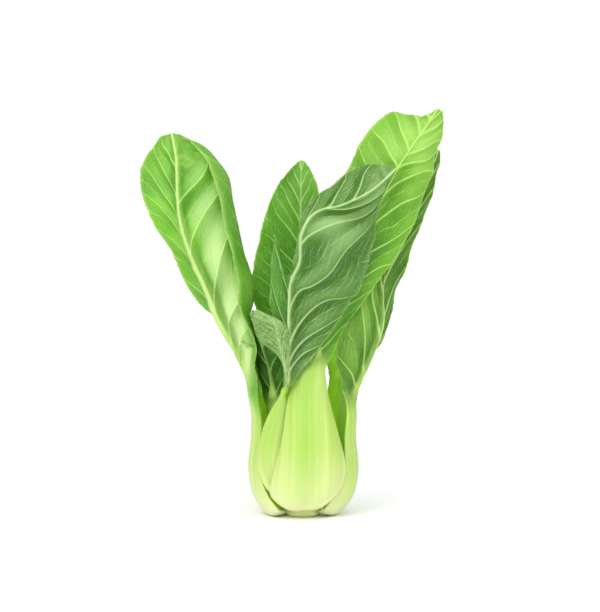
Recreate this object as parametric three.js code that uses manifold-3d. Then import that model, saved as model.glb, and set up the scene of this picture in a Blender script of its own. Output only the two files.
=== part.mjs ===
// A head of bok choy standing on its cut stem. Millimetres, +Z up, the front towards -Y.
// The origin is the middle of the cut face of the stem.
import * as THREE from "three";
import Module from "manifold-3d";

const manifold = await Module();
manifold.setup();

const BLADE_THICKNESS = 0.7;
// The clear space between a blade and the midrib behind it.
const MIDRIB_GAP = 0.6;
// How thick a stalk is at its two edges.
const STALK_EDGE = 1.2;
// How far along, in stations, a stalk takes to narrow from its full width to the midrib.
const NECK_LENGTH = 1.1;
// How thick the midrib is where it leaves the stalk, and at its end.
const MIDRIB_START = 2.4;
const MIDRIB_END = 0.6;
// How far a leaf sinks inwards at its neck, so that its back runs on smoothly into the midrib.
const NECK_SINK = 2.8;
// How much longer the cut stump is towards the front than towards the back.
const STEM_FRONT_STRETCH = 1.35;
const PALE_GREEN = 0xd6ebac;
const LEAF_GREEN = 0x5f9e34;
const STEM_CREAM = 0xdde0a0;

// Every leaf is given by stations from its base to its tip. A station holds three points:
// the left edge, the midline and the right edge, left and right as seen from the front.
// On the stalk the points lie on its outer face, and on the blade in the middle of the sheet.
// bladeFrom is the station where the blade starts, and ribTo the one where the midrib ends.
// inner is 1 where the leaf's inner face is turned to the front, and -1 where its back is.
// bow tells how much each half swells outwards, as a share of its width, on stalk and blade.
// roll gives a line near the right edge, where the margin turns over.
// ribSide is 1 where the midrib lies on the inner face of the blade, and -1 on its back.
const LEAVES = {
  leaf_left: {
    inner: -1,
    ribSide: -1,
    bladeFrom: 5.4,
    ribTo: 12.6,
    stalkThickness: 4.2,
    bow: { stalk: [0.13, 0.1], blade: [-0.2, 0.2] },
    wave: { height: 1.1, count: 4.2, phase: 0.4 },
    grid: { blade: [20, 10], stalk: [7, 6] },
    stations: [
      [[-8.5, 7.5, 2.6], [-11, -1, 0.8], [-8.4, -10.5, 2]],
      [[-13.5, 14, 5], [-17.5, -0.5, 0.6], [-12.6, -17.2, 4.4]],
      [[-16, 17, 12], [-24, 0.3, 9.2], [-17.9, -15.8, 12]],
      [[-16.8, 18, 24], [-26.4, 1, 22], [-21.4, -11.6, 25]],
      [[-16.4, 16.8, 40], [-25.1, 1, 38], [-20.4, -11, 40]],
      [[-17.6, 13.4, 55], [-25.2, 0.6, 54], [-21, -10.3, 56]],
      [[-24, 8.5, 68], [-28.2, -0.5, 68], [-22, -10, 69]],
      [[-33.5, 7, 83], [-33.8, -3, 81.5], [-23.8, -10, 81.5]],
      [[-44.5, 5.2, 95], [-40.5, -5.6, 95], [-28.2, -9.8, 95.5]],
      [[-54.5, 5, 109], [-46.7, -7.2, 110], [-31, -9.3, 110.5]],
      [[-64.5, 5, 126.5], [-54.2, -8.2, 126.5], [-34.3, -8.8, 126.5]],
      [[-73.6, 4.6, 145], [-59, -8.4, 143], [-38.6, -8.4, 145]],
      [[-78.8, 3.4, 158.5], [-60.2, -8, 158], [-43.6, -8, 163]],
      [[-75.2, 1, 171.3], [-60.4, -6.8, 171.5], [-51.4, -7, 177.4]],
      [[-68, -3.2, 182], [-62.4, -5, 183.8], [-57.4, -5.8, 181.8]],
    ],
    roll: {
      at: 0.78,
      from: 7,
      points: [
        [-24.3, -7.8, 82],
        [-25.4, -5.6, 94],
        [-25.6, -4.2, 108.5],
        [-29.2, -3.4, 128],
        [-32.6, -3, 147],
        [-37.6, -3, 162.5],
        [-47.4, -4.2, 176],
        [-57.8, -5.2, 182.2],
      ],
    },
  },
  leaf_right: {
    inner: -1,
    ribSide: -1,
    bladeFrom: 4.9,
    ribTo: 12.6,
    stalkThickness: 4.2,
    bow: { stalk: [0.1, 0.1], blade: [0.1, 0.06] },
    wave: { height: 0.9, count: 4.4, phase: 1.2 },
    grid: { blade: [20, 10], stalk: [7, 6] },
    stations: [
      [[7.6, -10.2, 2], [11, -1, 0.8], [9.5, 5.5, 2.6]],
      [[11.8, -16.6, 5.6], [17.5, -0.5, 0.6], [12.8, 12, 5.6]],
      [[17.4, -15, 14], [24.4, 0.3, 9.2], [15, 13.8, 12.5]],
      [[20, -12.4, 25], [26.9, 1, 22], [16.2, 15.2, 24]],
      [[20.6, -11.2, 39], [25.6, 1, 38], [16.6, 13.8, 40]],
      [[21, -10.8, 53], [25.2, 0.2, 53], [18, 11.4, 54]],
      [[18, -11, 65.5], [28.4, -1.6, 66.5], [25.6, 8, 66]],
      [[16.1, -11.2, 77], [33.2, -3.4, 79.5], [34.4, 4.8, 79]],
      [[19, -11, 91], [37.4, -4.8, 94.5], [41.2, 2.4, 95.5]],
      [[25.5, -9, 104], [37.6, -4.8, 110], [46.4, 1.4, 110.5]],
      [[33, -7.4, 121], [40.6, -4.4, 127], [51.8, 0.6, 126.5]],
      [[42, -6.2, 138], [47.6, -4, 144], [58.5, -0.2, 143]],
      [[51, -5.6, 153], [56, -3.6, 159], [63.2, -1.2, 159]],
      [[59, -5.2, 167], [62, -4, 170.5], [65.4, -2.6, 170.5]],
      [[62.4, -4.8, 174], [63.9, -4.4, 176], [65.2, -3.6, 175.4]],
    ],
  },
  leaf_front: {
    inner: -1,
    ribSide: -1,
    bladeFrom: 6.2,
    ribTo: 12.6,
    stalkThickness: 4.6,
    bow: { stalk: [0.16, 0.18], blade: [0.06, 0.07] },
    wave: { height: 1.2, count: 4.6, phase: 2.2 },
    grid: { blade: [20, 10], stalk: [8, 8] },
    stations: [
      [[-6.4, -10.6, 6.8], [0.5, -12.4, 5.4], [7, -10.6, 6.8]],
      [[-13.2, -15, 8.2], [1.4, -18.8, 4.6], [12.4, -15, 9]],
      [[-15.8, -19, 13.5], [2.2, -25.6, 10.5], [18.4, -16.4, 15]],
      [[-13.4, -21, 25.5], [3, -27.3, 25], [20.4, -15.4, 25.5]],
      [[-9.8, -21, 40], [3.5, -26.2, 40], [17.2, -16, 40]],
      [[-7.8, -18.8, 55], [3.2, -23.8, 55], [13.2, -16.6, 55]],
      [[-4.6, -17, 70], [4.4, -20.6, 70], [10.3, -16.6, 70]],
      [[-4.5, -15, 86], [6.6, -17.6, 84.5], [15.4, -14.4, 80.5]],
      [[-4, -13.5, 108], [13, -16.8, 102], [24.8, -13.2, 98.5]],
      [[4, -11.5, 134], [23, -16.2, 124], [37.6, -12, 115]],
      [[12, -9.5, 155], [34.4, -16, 147], [51, -11, 136.5]],
      [[20, -8.6, 165.5], [44, -15.6, 166], [58.6, -10.4, 157.5]],
      [[31, -8.6, 184.6], [50.8, -15.6, 176.4], [63, -10.6, 170]],
      [[42.8, -9.6, 194.2], [57.9, -15.5, 186.6], [66.4, -11.4, 183]],
      [[55.2, -12.8, 187.6], [64, -15.4, 196], [66.4, -13.4, 194]],
    ],
  },
  leaf_front_left: {
    inner: -1,
    ribSide: 1,
    bladeFrom: 6.3,
    ribTo: 15.4,
    stalkThickness: 3.8,
    bow: { stalk: [0.16, 0.12], blade: [0.05, 0.12] },
    wave: { height: 1, count: 5.2, phase: 0 },
    grid: { blade: [27, 10], stalk: [8, 6] },
    stations: [
      [[-7.4, -3.5, 8.8], [-5.6, -7, 8], [-1, -8.4, 8.8]],
      [[-12, -11.5, 9.6], [-9.6, -13.4, 9], [-3.5, -13.6, 10.5]],
      [[-17.6, -16.6, 14.6], [-13.6, -17, 14.8], [-5, -16.2, 16]],
      [[-21.6, -14.2, 25], [-17.6, -18, 25.5], [-6.4, -17.2, 26]],
      [[-20.4, -13.8, 38.5], [-16, -17.8, 39], [-6, -16.4, 40]],
      [[-16.2, -15.8, 50.5], [-12.3, -18.6, 51.5], [-6.8, -16.8, 52]],
      [[-10.6, -18.6, 60], [-9.2, -20.6, 60.5], [-8.2, -20, 61]],
      [[-9, -21.4, 67], [-7.3, -23.6, 68], [-3.8, -24.8, 67]],
      [[-13, -19.8, 88], [-6.7, -25, 81], [4.5, -24.6, 77.5]],
      [[-16.2, -19.8, 107], [-6.7, -26, 96], [12, -23, 89]],
      [[-13.4, -20.4, 136.5], [-6.4, -26.6, 110], [21, -20.9, 101]],
      [[-7.6, -25.4, 117.6], [-5.4, -26.6, 115.4], [24.8, -20.2, 106.6]],
      [[-3.8, -25.8, 126], [-1.6, -27, 124], [29.4, -19.5, 115.5]],
      [[-2.8, -25.6, 138.4], [-0.7, -27.2, 137], [33, -19.2, 129]],
      [[3.2, -21, 149.8], [6, -27, 147], [35, -19.4, 139.5]],
      [[14, -18.4, 161], [19, -26, 150.6], [36.5, -20, 148.8]],
      [[28, -18.4, 169], [32.6, -24, 157.4], [38.9, -21, 157.8]],
      [[41, -19, 169.4], [44, -20.6, 167.4], [42.8, -20.4, 165]],
    ],
    // A lobe at the foot of the blade that turns forward beside the midrib.
    lobe: {
      grid: [8, 6],
      bow: [0.08, 0.02],
      stations: [
        [[-8.4, -22.6, 63.6], [-7.7, -23, 63.4], [-7, -23.2, 63.6]],
        [[-9, -24, 72], [-8.2, -25.4, 72.4], [-6.6, -25.2, 73]],
        [[-11.6, -24.8, 79], [-9.9, -27.2, 80], [-6.5, -26.2, 81.5]],
        [[-20.4, -24, 86.6], [-12, -28.2, 89], [-6.6, -26.6, 91]],
        [[-23.6, -22.6, 93.6], [-14, -27.8, 95.4], [-8.5, -27.2, 94.2]],
        [[-25.2, -21.6, 98.8], [-21.6, -24, 101], [-13.8, -26.8, 97.6]],
      ],
    },
  },
  leaf_back_right: {
    inner: 1,
    ribSide: -1,
    bladeFrom: 5,
    ribTo: 10.8,
    stalkThickness: 4.2,
    bow: { stalk: [0.06, 0.1], blade: [0.08, 0.08] },
    wave: { height: 1.3, count: 3.6, phase: 0.9 },
    grid: { blade: [14, 8], stalk: [7, 6] },
    stations: [
      [[1.6, 10.6, 2.4], [5.4, 11.4, 1], [8.2, 9.6, 2.6]],
      [[1.5, 17.6, 4.8], [8.6, 18.6, 2.8], [14, 15.8, 7]],
      [[1.5, 23.4, 12], [11.4, 23.4, 12], [19, 17.2, 14.5]],
      [[2, 26, 25], [12.8, 25.2, 25], [21, 17.6, 26]],
      [[6, 25.4, 42], [14.8, 25, 42], [21.6, 17.4, 42]],
      [[12, 24, 57], [17.4, 25, 57], [22.4, 17.6, 57]],
      [[12, 24, 69], [19.6, 27, 70], [26.2, 21.2, 69]],
      [[9, 25.6, 82], [21.6, 30, 85], [31.4, 24.4, 82]],
      [[9, 28, 99], [24, 33.4, 102], [35.6, 26.8, 98]],
      [[12.6, 31.6, 118], [27, 36.8, 120], [40, 29.8, 117]],
      [[17.6, 34.6, 136], [31, 39.6, 138], [43.6, 33.2, 134]],
      [[25, 37.8, 151], [36, 41.6, 152], [45, 36.8, 149]],
      [[33.4, 41.2, 160], [38.6, 42.6, 161.6], [43, 40.4, 159.4]],
    ],
  },
  leaf_back_left: {
    inner: 1,
    ribSide: -1,
    bladeFrom: 5,
    ribTo: 10.8,
    stalkThickness: 4.2,
    bow: { stalk: [0.14, 0.08], blade: [0.08, 0.08] },
    wave: { height: 1.3, count: 3.8, phase: 2.6 },
    grid: { blade: [14, 8], stalk: [7, 6] },
    stations: [
      [[-8.6, 8.4, 3.4], [-5.2, 10.8, 1.6], [-1, 11.2, 3.2]],
      [[-10.4, 10.6, 7.6], [-7, 17.4, 3], [0.4, 16.4, 7]],
      [[-12.8, 11.6, 15], [-8, 21.6, 12.5], [3, 19.4, 15]],
      [[-13.4, 12.2, 26], [-8, 23.2, 25], [4.4, 21, 26]],
      [[-13, 14, 42], [-8, 23.2, 42], [3.4, 21, 42]],
      [[-13, 17.6, 57], [-8.4, 24.4, 57], [0, 22, 57]],
      [[-16, 21, 70], [-9.4, 26.8, 70], [-1.4, 24, 70]],
      [[-20, 23.4, 84], [-9.8, 30.2, 85], [0.4, 27, 84]],
      [[-22, 26.4, 100], [-9.6, 34.2, 102], [4.4, 30.6, 100]],
      [[-21, 29.4, 117], [-8.8, 37.8, 119], [6.4, 34.2, 117]],
      [[-18, 32.4, 132], [-7.6, 40.2, 135], [6.2, 37, 132]],
      [[-13, 35.6, 146], [-6.6, 41.6, 149], [3.4, 39.2, 146]],
      [[-8.6, 40, 156], [-5.4, 42.2, 158], [-1.8, 41, 156]],
    ],
  },
  leaf_inner_back: {
    inner: 1,
    ribSide: -1,
    bladeFrom: 4.3,
    ribTo: 10,
    stalkThickness: 3.4,
    bow: { stalk: [0.2, 0.2], blade: [0.07, 0.07] },
    wave: { height: 0.8, count: 3.4, phase: 1.8 },
    grid: { blade: [14, 8], stalk: [7, 6] },
    stations: [
      [[-3.2, 5.6, 10.4], [0.4, 7, 9.4], [4, 5.6, 10.4]],
      [[-6.4, 8.4, 17], [0.5, 13, 16], [7, 8.4, 17]],
      [[-7.6, 9.4, 32], [0.5, 14.6, 32], [8, 9.4, 32]],
      [[-6.8, 8.8, 50], [0, 12.8, 50], [6.6, 8.8, 50]],
      [[-6, 7.4, 66], [-0.8, 10.6, 66], [4.6, 7.2, 66]],
      [[-13, 5.4, 81], [-1.2, 8.4, 82], [8, 4.6, 81]],
      [[-22, 3.2, 96], [-1.4, 6.4, 99], [13.6, 2, 97]],
      [[-24.4, 2, 112], [-1.3, 5, 116], [15, 0.4, 114]],
      [[-21.8, 1.4, 131], [-1.2, 4, 133], [14, -0.6, 131]],
      [[-16.6, 0.8, 148.5], [-1, 3.2, 149], [10.2, -1, 149.5]],
      [[-9, 0.8, 162.6], [-0.8, 2.2, 162], [5.4, -0.4, 162.4]],
      [[-2.8, 1, 169.2], [-0.9, 1.4, 170.4], [1.2, 0.6, 169.4]],
    ],
  },
  leaf_inner_left: {
    inner: -1,
    ribSide: -1,
    bladeFrom: 3.5,
    ribTo: 7,
    stalkThickness: 3,
    bow: { stalk: [0.18, 0.18], blade: [0.08, 0.08] },
    wave: { height: 0.6, count: 2.6, phase: 0.6 },
    grid: { blade: [12, 6], stalk: [5, 6] },
    stations: [
      [[-3.6, 3, 12.4], [-5.2, 0, 11.4], [-3.6, -3, 12.4]],
      [[-9, 5.8, 19], [-12, 0, 18], [-9, -6, 19]],
      [[-10.6, 5.6, 33], [-14.4, -1, 33], [-10.4, -7.8, 33]],
      [[-15.5, 4.2, 48.5], [-15, -3.4, 47], [-10.4, -9.6, 47]],
      [[-19.4, 2.4, 57], [-15.3, -6.4, 58], [-9.6, -11, 58]],
      [[-22, 0.2, 69], [-16, -8.4, 70], [-9, -12.2, 68]],
      [[-25.6, 1, 82], [-18.4, -9.4, 80], [-10, -13, 79]],
      [[-26, 1.6, 92], [-20.4, -9.2, 90], [-13, -13, 89]],
      [[-24.4, 0.6, 98.4], [-20.4, -7.5, 98.8], [-17.4, -11.2, 97]],
    ],
  },
  leaf_heart_front: {
    inner: -1,
    ribSide: -1,
    bladeFrom: 3,
    ribTo: 6,
    stalkThickness: 2.2,
    bow: { stalk: [0.18, 0.18], blade: [0.08, 0.08] },
    wave: { height: 0.5, count: 2.4, phase: 0 },
    grid: { blade: [10, 6], stalk: [4, 6] },
    stations: [
      [[-2.8, -1.6, 16], [0, -3, 15.4], [2.8, -1.6, 16]],
      [[-4.4, -3.2, 25], [0, -6.2, 24], [4.4, -3.2, 25]],
      [[-4.4, -3.8, 40], [0.3, -7.2, 40], [4.4, -3.8, 40]],
      [[-4, -4.6, 54], [0.5, -7.8, 54], [4, -4.6, 54]],
      [[-6.4, -5, 66], [0.8, -9, 66], [6, -5, 66]],
      [[-7.8, -5, 80], [1, -9.8, 80], [7.4, -5.6, 80]],
      [[-6, -5.6, 92], [1, -9.6, 92], [6, -6, 92]],
      [[-1.6, -7, 99], [0.7, -8.4, 100], [3, -7, 99]],
    ],
  },
  leaf_heart_back: {
    inner: 1,
    ribSide: -1,
    bladeFrom: 3,
    ribTo: 5.2,
    stalkThickness: 2,
    bow: { stalk: [0.18, 0.18], blade: [0.08, 0.08] },
    wave: { height: 0.4, count: 2.2, phase: 1 },
    grid: { blade: [10, 6], stalk: [4, 6] },
    stations: [
      [[-2.6, 1.6, 16], [0, 3, 15.4], [2.6, 1.6, 16]],
      [[-4, 2.2, 25], [0, 5.2, 24.4], [4, 2.2, 25]],
      [[-4, 2.2, 39], [0, 5.2, 39], [4, 2.2, 39]],
      [[-3.6, 1.6, 51], [0, 4.4, 51], [3.6, 1.6, 51]],
      [[-5, 0.6, 62], [0, 3.4, 63], [5, 0.6, 62]],
      [[-5, 0, 73], [0, 2.4, 75], [5.4, 0, 73]],
      [[-1.6, 0, 82], [0.3, 1, 83], [2, 0, 82]],
    ],
  },
};

const vector = (point) => new THREE.Vector3(...point);

function clamp(value, low, high) {
  return Math.min(high, Math.max(low, value));
}

function smoothStep(low, high, value) {
  const share = clamp((value - low) / (high - low), 0, 1);
  return share * share * (3 - 2 * share);
}

// The point at station t on the smooth line through the given points.
function along(points, t) {
  const last = points.length - 1;
  const index = clamp(Math.floor(t), 0, last - 1);
  const u = t - index;
  const b = points[index];
  const c = points[index + 1];
  const a = index > 0 ? points[index - 1] : b.clone().multiplyScalar(2).sub(c);
  const d = index + 2 <= last ? points[index + 2] : c.clone().multiplyScalar(2).sub(b);
  const weights = [
    (-u + 2 * u * u - u * u * u) / 2,
    (2 - 5 * u * u + 3 * u * u * u) / 2,
    (u + 4 * u * u - 3 * u * u * u) / 2,
    (-u * u + u * u * u) / 2,
  ];
  const result = new THREE.Vector3();
  [a, b, c, d].forEach((point, i) => result.addScaledVector(point, weights[i]));
  return result;
}

// The three lines of a leaf or lobe, each as vectors.
function edgeLines(stations) {
  return {
    left: stations.map((station) => vector(station[0])),
    middle: stations.map((station) => vector(station[1])),
    right: stations.map((station) => vector(station[2])),
    last: stations.length - 1,
  };
}

// The unit normal of one half at station t, towards the leaf's inner face.
function halfNormal(lines, side, inner, t) {
  const step = 0.05;
  const from = along(lines.middle, clamp(t - step, 0, lines.last));
  const to = along(lines.middle, clamp(t + step, 0, lines.last));
  const edge = along(side < 0 ? lines.left : lines.right, t);
  const across = edge.sub(along(lines.middle, t));
  return to
    .sub(from)
    .cross(across)
    .multiplyScalar(-side * inner)
    .normalize();
}

// A point of the curve through the midline, a point in between and the edge.
function acrossHalf(middle, between, edge, at, u) {
  const slopeIn = between.clone().sub(middle).divideScalar(at);
  const slopeOut = edge.clone().sub(between).divideScalar(1 - at);
  const slope = slopeIn
    .clone()
    .multiplyScalar(1 - at)
    .addScaledVector(slopeOut, at);
  const start = slopeIn.clone().multiplyScalar(2).sub(slope);
  const end = slopeOut.clone().multiplyScalar(2).sub(slope);
  const [p, q, m, n, length, w] =
    u <= at
      ? [middle, between, start, slope, at, u / at]
      : [between, edge, slope, end, 1 - at, (u - at) / (1 - at)];
  const w2 = w * w;
  const w3 = w2 * w;
  return new THREE.Vector3()
    .addScaledVector(p, 2 * w3 - 3 * w2 + 1)
    .addScaledVector(m, (w3 - 2 * w2 + w) * length)
    .addScaledVector(q, 3 * w2 - 2 * w3)
    .addScaledVector(n, (w3 - w2) * length);
}

// Where the stalk passes behind the blade. The surface sinks in there by the midrib's depth.
function neckShare(leaf, t) {
  const start = leaf.bladeFrom;
  return smoothStep(start - 1, start - 0.1, t) * (1 - smoothStep(start, start + 3, t));
}

// The leaf's surface: t runs from base to tip in stations, v from -1 at the left edge to 1.
function leafSurface(leaf) {
  const lines = edgeLines(leaf.stations);
  const rollLine = leaf.roll ? leaf.roll.points.map(vector) : null;
  return function point(t, v) {
    const side = v < 0 ? -1 : 1;
    const u = Math.abs(v);
    const index = side < 0 ? 0 : 1;
    const middle = along(lines.middle, t);
    const edge = along(side < 0 ? lines.left : lines.right, t);
    const normal = halfNormal(lines, side, leaf.inner, t);
    const spread = smoothStep(leaf.bladeFrom - 0.5, leaf.bladeFrom + 0.5, t);
    const bow =
      leaf.bow.stalk[index] * (1 - spread) + leaf.bow.blade[index] * spread;
    const rolled =
      rollLine && side > 0 ? smoothStep(leaf.roll.from - 1, leaf.roll.from, t) : 0;
    const at = rolled > 0 ? 0.5 + (leaf.roll.at - 0.5) * rolled : 0.5;
    const swell = -bow * edge.distanceTo(middle) * 4 * at * (1 - at);
    const between = middle.clone().lerp(edge, at).addScaledVector(normal, swell);
    if (rolled > 0) {
      const rollAt = Math.max(0, t - leaf.roll.from);
      between.lerp(along(rollLine, rollAt), rolled);
    }
    const result = acrossHalf(middle, between, edge, at, u);
    if (leaf.ribSide < 0) {
      const sink = NECK_SINK * neckShare(leaf, t) * (1 - u * u);
      const other = halfNormal(lines, -side, leaf.inner, t);
      result.addScaledVector(other.add(normal).normalize(), sink);
    }
    const share = (t - leaf.bladeFrom) / (lines.last - leaf.bladeFrom);
    if (share > 0) {
      const turn = 2 * Math.PI * leaf.wave.count * share + leaf.wave.phase + (side > 0 ? 1.7 : 0);
      const fade = Math.min(1, 4 * share) * Math.min(1, 5 * (1 - share)) * u ** 3;
      result.addScaledVector(normal, leaf.wave.height * fade * Math.sin(turn));
    }
    return result;
  };
}

// The unit normal of a surface at (t, v), towards the inner face.
function surfaceNormal(surface, inner, last, t, v) {
  const step = 0.02;
  const up = surface(clamp(t + step, 0, last), v).sub(surface(clamp(t - step, 0, last), v));
  const over = surface(t, clamp(v + step, -1, 1)).sub(surface(t, clamp(v - step, -1, 1)));
  return over.cross(up).multiplyScalar(inner).normalize();
}

// A closed sheet over a grid of rows and columns, given the point of its back and its inner face.
function sheet(rows, columns, backPoint, innerPoint, inner) {
  const positions = [];
  const indices = [];
  const stride = columns + 1;
  const faceSize = (rows + 1) * stride;
  for (const pointOf of [backPoint, innerPoint])
    for (let row = 0; row <= rows; row += 1)
      for (let column = 0; column <= columns; column += 1)
        positions.push(...pointOf(row, column).toArray());
  const triangle = (a, b, c) => indices.push(...(inner > 0 ? [a, b, c] : [a, c, b]));
  const wall = (a, b) => {
    triangle(a, b, b + faceSize);
    triangle(a, b + faceSize, a + faceSize);
  };
  for (let row = 0; row < rows; row += 1)
    for (let column = 0; column < columns; column += 1) {
      const a = row * stride + column;
      const [b, c, d] = [a + 1, a + stride, a + stride + 1];
      const middleCut = column < columns / 2;
      const cuts = middleCut
        ? [[a, b, d], [a, d, c]]
        : [[a, b, c], [b, d, c]];
      for (const [p, q, r] of cuts) {
        triangle(p, r, q);
        triangle(p + faceSize, q + faceSize, r + faceSize);
      }
    }
  for (let column = 0; column < columns; column += 1) {
    wall(column, column + 1);
    wall(rows * stride + column + 1, rows * stride + column);
  }
  for (let row = 0; row < rows; row += 1) {
    wall((row + 1) * stride, row * stride);
    wall(row * stride + columns, (row + 1) * stride + columns);
  }
  const geometry = new THREE.BufferGeometry();
  geometry.setAttribute("position", new THREE.Float32BufferAttribute(positions, 3));
  geometry.setIndex(indices);
  return geometry;
}

// A point of the surface moved along its normal, and never below the table.
function offsetPoint(surface, inner, last, t, v, offset) {
  const point = surface(t, v).addScaledVector(surfaceNormal(surface, inner, last, t, v), offset);
  point.z = Math.max(point.z, 0);
  return point;
}

function bladeGeometry(leaf) {
  const last = leaf.stations.length - 1;
  const surface = leafSurface(leaf);
  const [rows, columns] = leaf.grid.blade;
  const face = (offset) => (row, column) => {
    const t = leaf.bladeFrom + ((last - leaf.bladeFrom) * row) / rows;
    return offsetPoint(surface, leaf.inner, last, t, (2 * column) / columns - 1, offset);
  };
  return sheet(
    rows,
    columns,
    face(-BLADE_THICKNESS / 2),
    face(BLADE_THICKNESS / 2),
    leaf.inner,
  );
}

// How much of the leaf's width its stalk or midrib takes at station t.
function stalkShare(leaf, surface, t) {
  const width = surface(t, 1).distanceTo(surface(t, -1));
  const tip = smoothStep(leaf.bladeFrom, leaf.ribTo, t);
  const ribShare = Math.min(1, (1.9 * (1 - tip) + 1) / width);
  const neck = smoothStep(leaf.bladeFrom - 0.1, leaf.bladeFrom + NECK_LENGTH, t);
  return 1 - (1 - ribShare) * neck;
}

// The stations of a stalk's rows. Behind the blade they are the blade's own.
function stalkRows(leaf) {
  const last = leaf.stations.length - 1;
  const [low] = leaf.grid.stalk;
  const [bladeRows] = leaf.grid.blade;
  const below = Array.from({ length: low }, (_, row) => ((leaf.bladeFrom - 0.05) * row) / (low - 1));
  const behind = Array.from(
    { length: bladeRows },
    (_, row) => leaf.bladeFrom + ((last - leaf.bladeFrom) * (row + 1)) / bladeRows,
  );
  return [...below, ...behind.filter((t) => t < leaf.ribTo)];
}

function stalkGeometry(leaf) {
  const last = leaf.stations.length - 1;
  const surface = leafSurface(leaf);
  const columns = leaf.grid.stalk[1];
  const stations = stalkRows(leaf);
  const clear = BLADE_THICKNESS / 2 + MIDRIB_GAP;
  const face = (isInner) => (row, column) => {
    const t = stations[row];
    const across = (2 * column) / columns - 1;
    const v = across * stalkShare(leaf, surface, t);
    const behind = smoothStep(leaf.bladeFrom - 1, leaf.bladeFrom - 0.1, t);
    const thinning = smoothStep(leaf.bladeFrom - 1, leaf.bladeFrom + 0.8, t);
    const taper = smoothStep(leaf.bladeFrom, leaf.ribTo, t);
    const rib = MIDRIB_START + (MIDRIB_END - MIDRIB_START) * taper;
    const middle = leaf.stalkThickness * (1 - thinning) + rib * thinning;
    const edge = STALK_EDGE * (1 - 0.5 * thinning);
    const root = 0.6 + 0.4 * Math.min(1, t / 1.5);
    const thickness = root * (edge + (middle - edge) * (1 - across ** 2));
    const near = leaf.ribSide * clear * behind;
    const low = leaf.ribSide > 0 ? near : near - thickness * behind;
    const offset = isInner ? low + thickness : low;
    return offsetPoint(surface, leaf.inner, last, t, v, offset);
  };
  return sheet(stations.length - 1, columns, face(false), face(true), leaf.inner);
}

function lobeGeometry(leaf) {
  const lobe = leaf.lobe;
  const asLeaf = {
    inner: leaf.inner,
    bladeFrom: 0,
    bow: { stalk: lobe.bow, blade: lobe.bow },
    wave: { height: 0.3, count: 1.5, phase: 0 },
    stations: lobe.stations,
  };
  const last = lobe.stations.length - 1;
  const surface = leafSurface(asLeaf);
  const [rows, columns] = lobe.grid;
  const face = (offset) => (row, column) =>
    offsetPoint(
      surface,
      leaf.inner,
      last,
      (last * row) / rows,
      (2 * column) / columns - 1,
      offset,
    );
  return sheet(
    rows,
    columns,
    face(-BLADE_THICKNESS / 2),
    face(BLADE_THICKNESS / 2),
    leaf.inner,
  );
}

function toSolid(geometry) {
  return new manifold.Manifold(
    new manifold.Mesh({
      numProp: 3,
      vertProperties: new Float32Array(geometry.getAttribute("position").array),
      triVerts: new Uint32Array(geometry.index.array),
    }),
  );
}

function toGeometry(solid) {
  const mesh = solid.getMesh();
  const geometry = new THREE.BufferGeometry();
  geometry.setAttribute(
    "position",
    new THREE.Float32BufferAttribute(Array.from(mesh.vertProperties), 3),
  );
  geometry.setIndex(Array.from(mesh.triVerts));
  return geometry;
}

function fused(first, second) {
  return toGeometry(toSolid(first).add(toSolid(second)));
}

// The cut stump: a short cone with a flat cut face and a rounded rim, longer towards the front.
function stemGeometry() {
  const profile = [
    [0, 0],
    [8.2, 0],
    [9.2, 0.5],
    [9.4, 1.6],
    [8.6, 4],
    [7, 6.4],
    [4.8, 8.6],
    [3, 11],
    [1.6, 13.4],
    [0, 14],
  ];
  const sides = 24;
  const geometry = new THREE.LatheGeometry(
    profile.map(([radius, height]) => new THREE.Vector2(radius, height)),
    sides,
  );
  geometry.rotateX(Math.PI / 2);
  const position = geometry.getAttribute("position");
  for (let i = 0; i < position.count; i += 1)
    if (position.getY(i) < 0) position.setY(i, position.getY(i) * STEM_FRONT_STRETCH);
  return geometry;
}

function material(color, roughness) {
  return new THREE.MeshStandardMaterial({ color, roughness, side: THREE.DoubleSide });
}

function build() {
  const group = new THREE.Group();
  const place = (name, geometry, color, roughness) => {
    const mesh = new THREE.Mesh(geometry, material(color, roughness));
    mesh.name = name;
    group.add(mesh);
  };
  place("stem_base", stemGeometry(), STEM_CREAM, 0.6);
  for (const [name, leaf] of Object.entries(LEAVES)) {
    const blade = bladeGeometry(leaf);
    place(name + "_stalk", stalkGeometry(leaf), PALE_GREEN, 0.4);
    place(
      name + "_blade",
      leaf.lobe ? fused(blade, lobeGeometry(leaf)) : blade,
      LEAF_GREEN,
      0.5,
    );
  }
  return group;
}

export default build();
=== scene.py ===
"""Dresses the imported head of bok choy: one fine mesh for each leaf and one for the cut stem.

The leaves repeat the stations of the solids, in millimetres, and add the relief of veins,
the ribs of the stalks and the small teeth of the margins.
"""

import math

import bpy
import numpy as np
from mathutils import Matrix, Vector


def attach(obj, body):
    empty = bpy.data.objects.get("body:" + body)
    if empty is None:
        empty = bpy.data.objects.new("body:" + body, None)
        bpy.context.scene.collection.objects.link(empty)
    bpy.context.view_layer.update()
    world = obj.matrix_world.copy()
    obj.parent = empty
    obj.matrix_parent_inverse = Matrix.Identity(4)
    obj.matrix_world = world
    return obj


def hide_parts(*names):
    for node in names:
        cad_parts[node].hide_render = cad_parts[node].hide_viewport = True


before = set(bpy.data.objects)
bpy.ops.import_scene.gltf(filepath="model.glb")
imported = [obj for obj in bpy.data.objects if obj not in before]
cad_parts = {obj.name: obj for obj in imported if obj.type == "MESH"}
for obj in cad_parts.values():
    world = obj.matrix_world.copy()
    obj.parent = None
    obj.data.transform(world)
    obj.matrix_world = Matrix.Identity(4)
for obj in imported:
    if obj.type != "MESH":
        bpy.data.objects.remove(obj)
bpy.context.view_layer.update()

MM = 0.001

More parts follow.
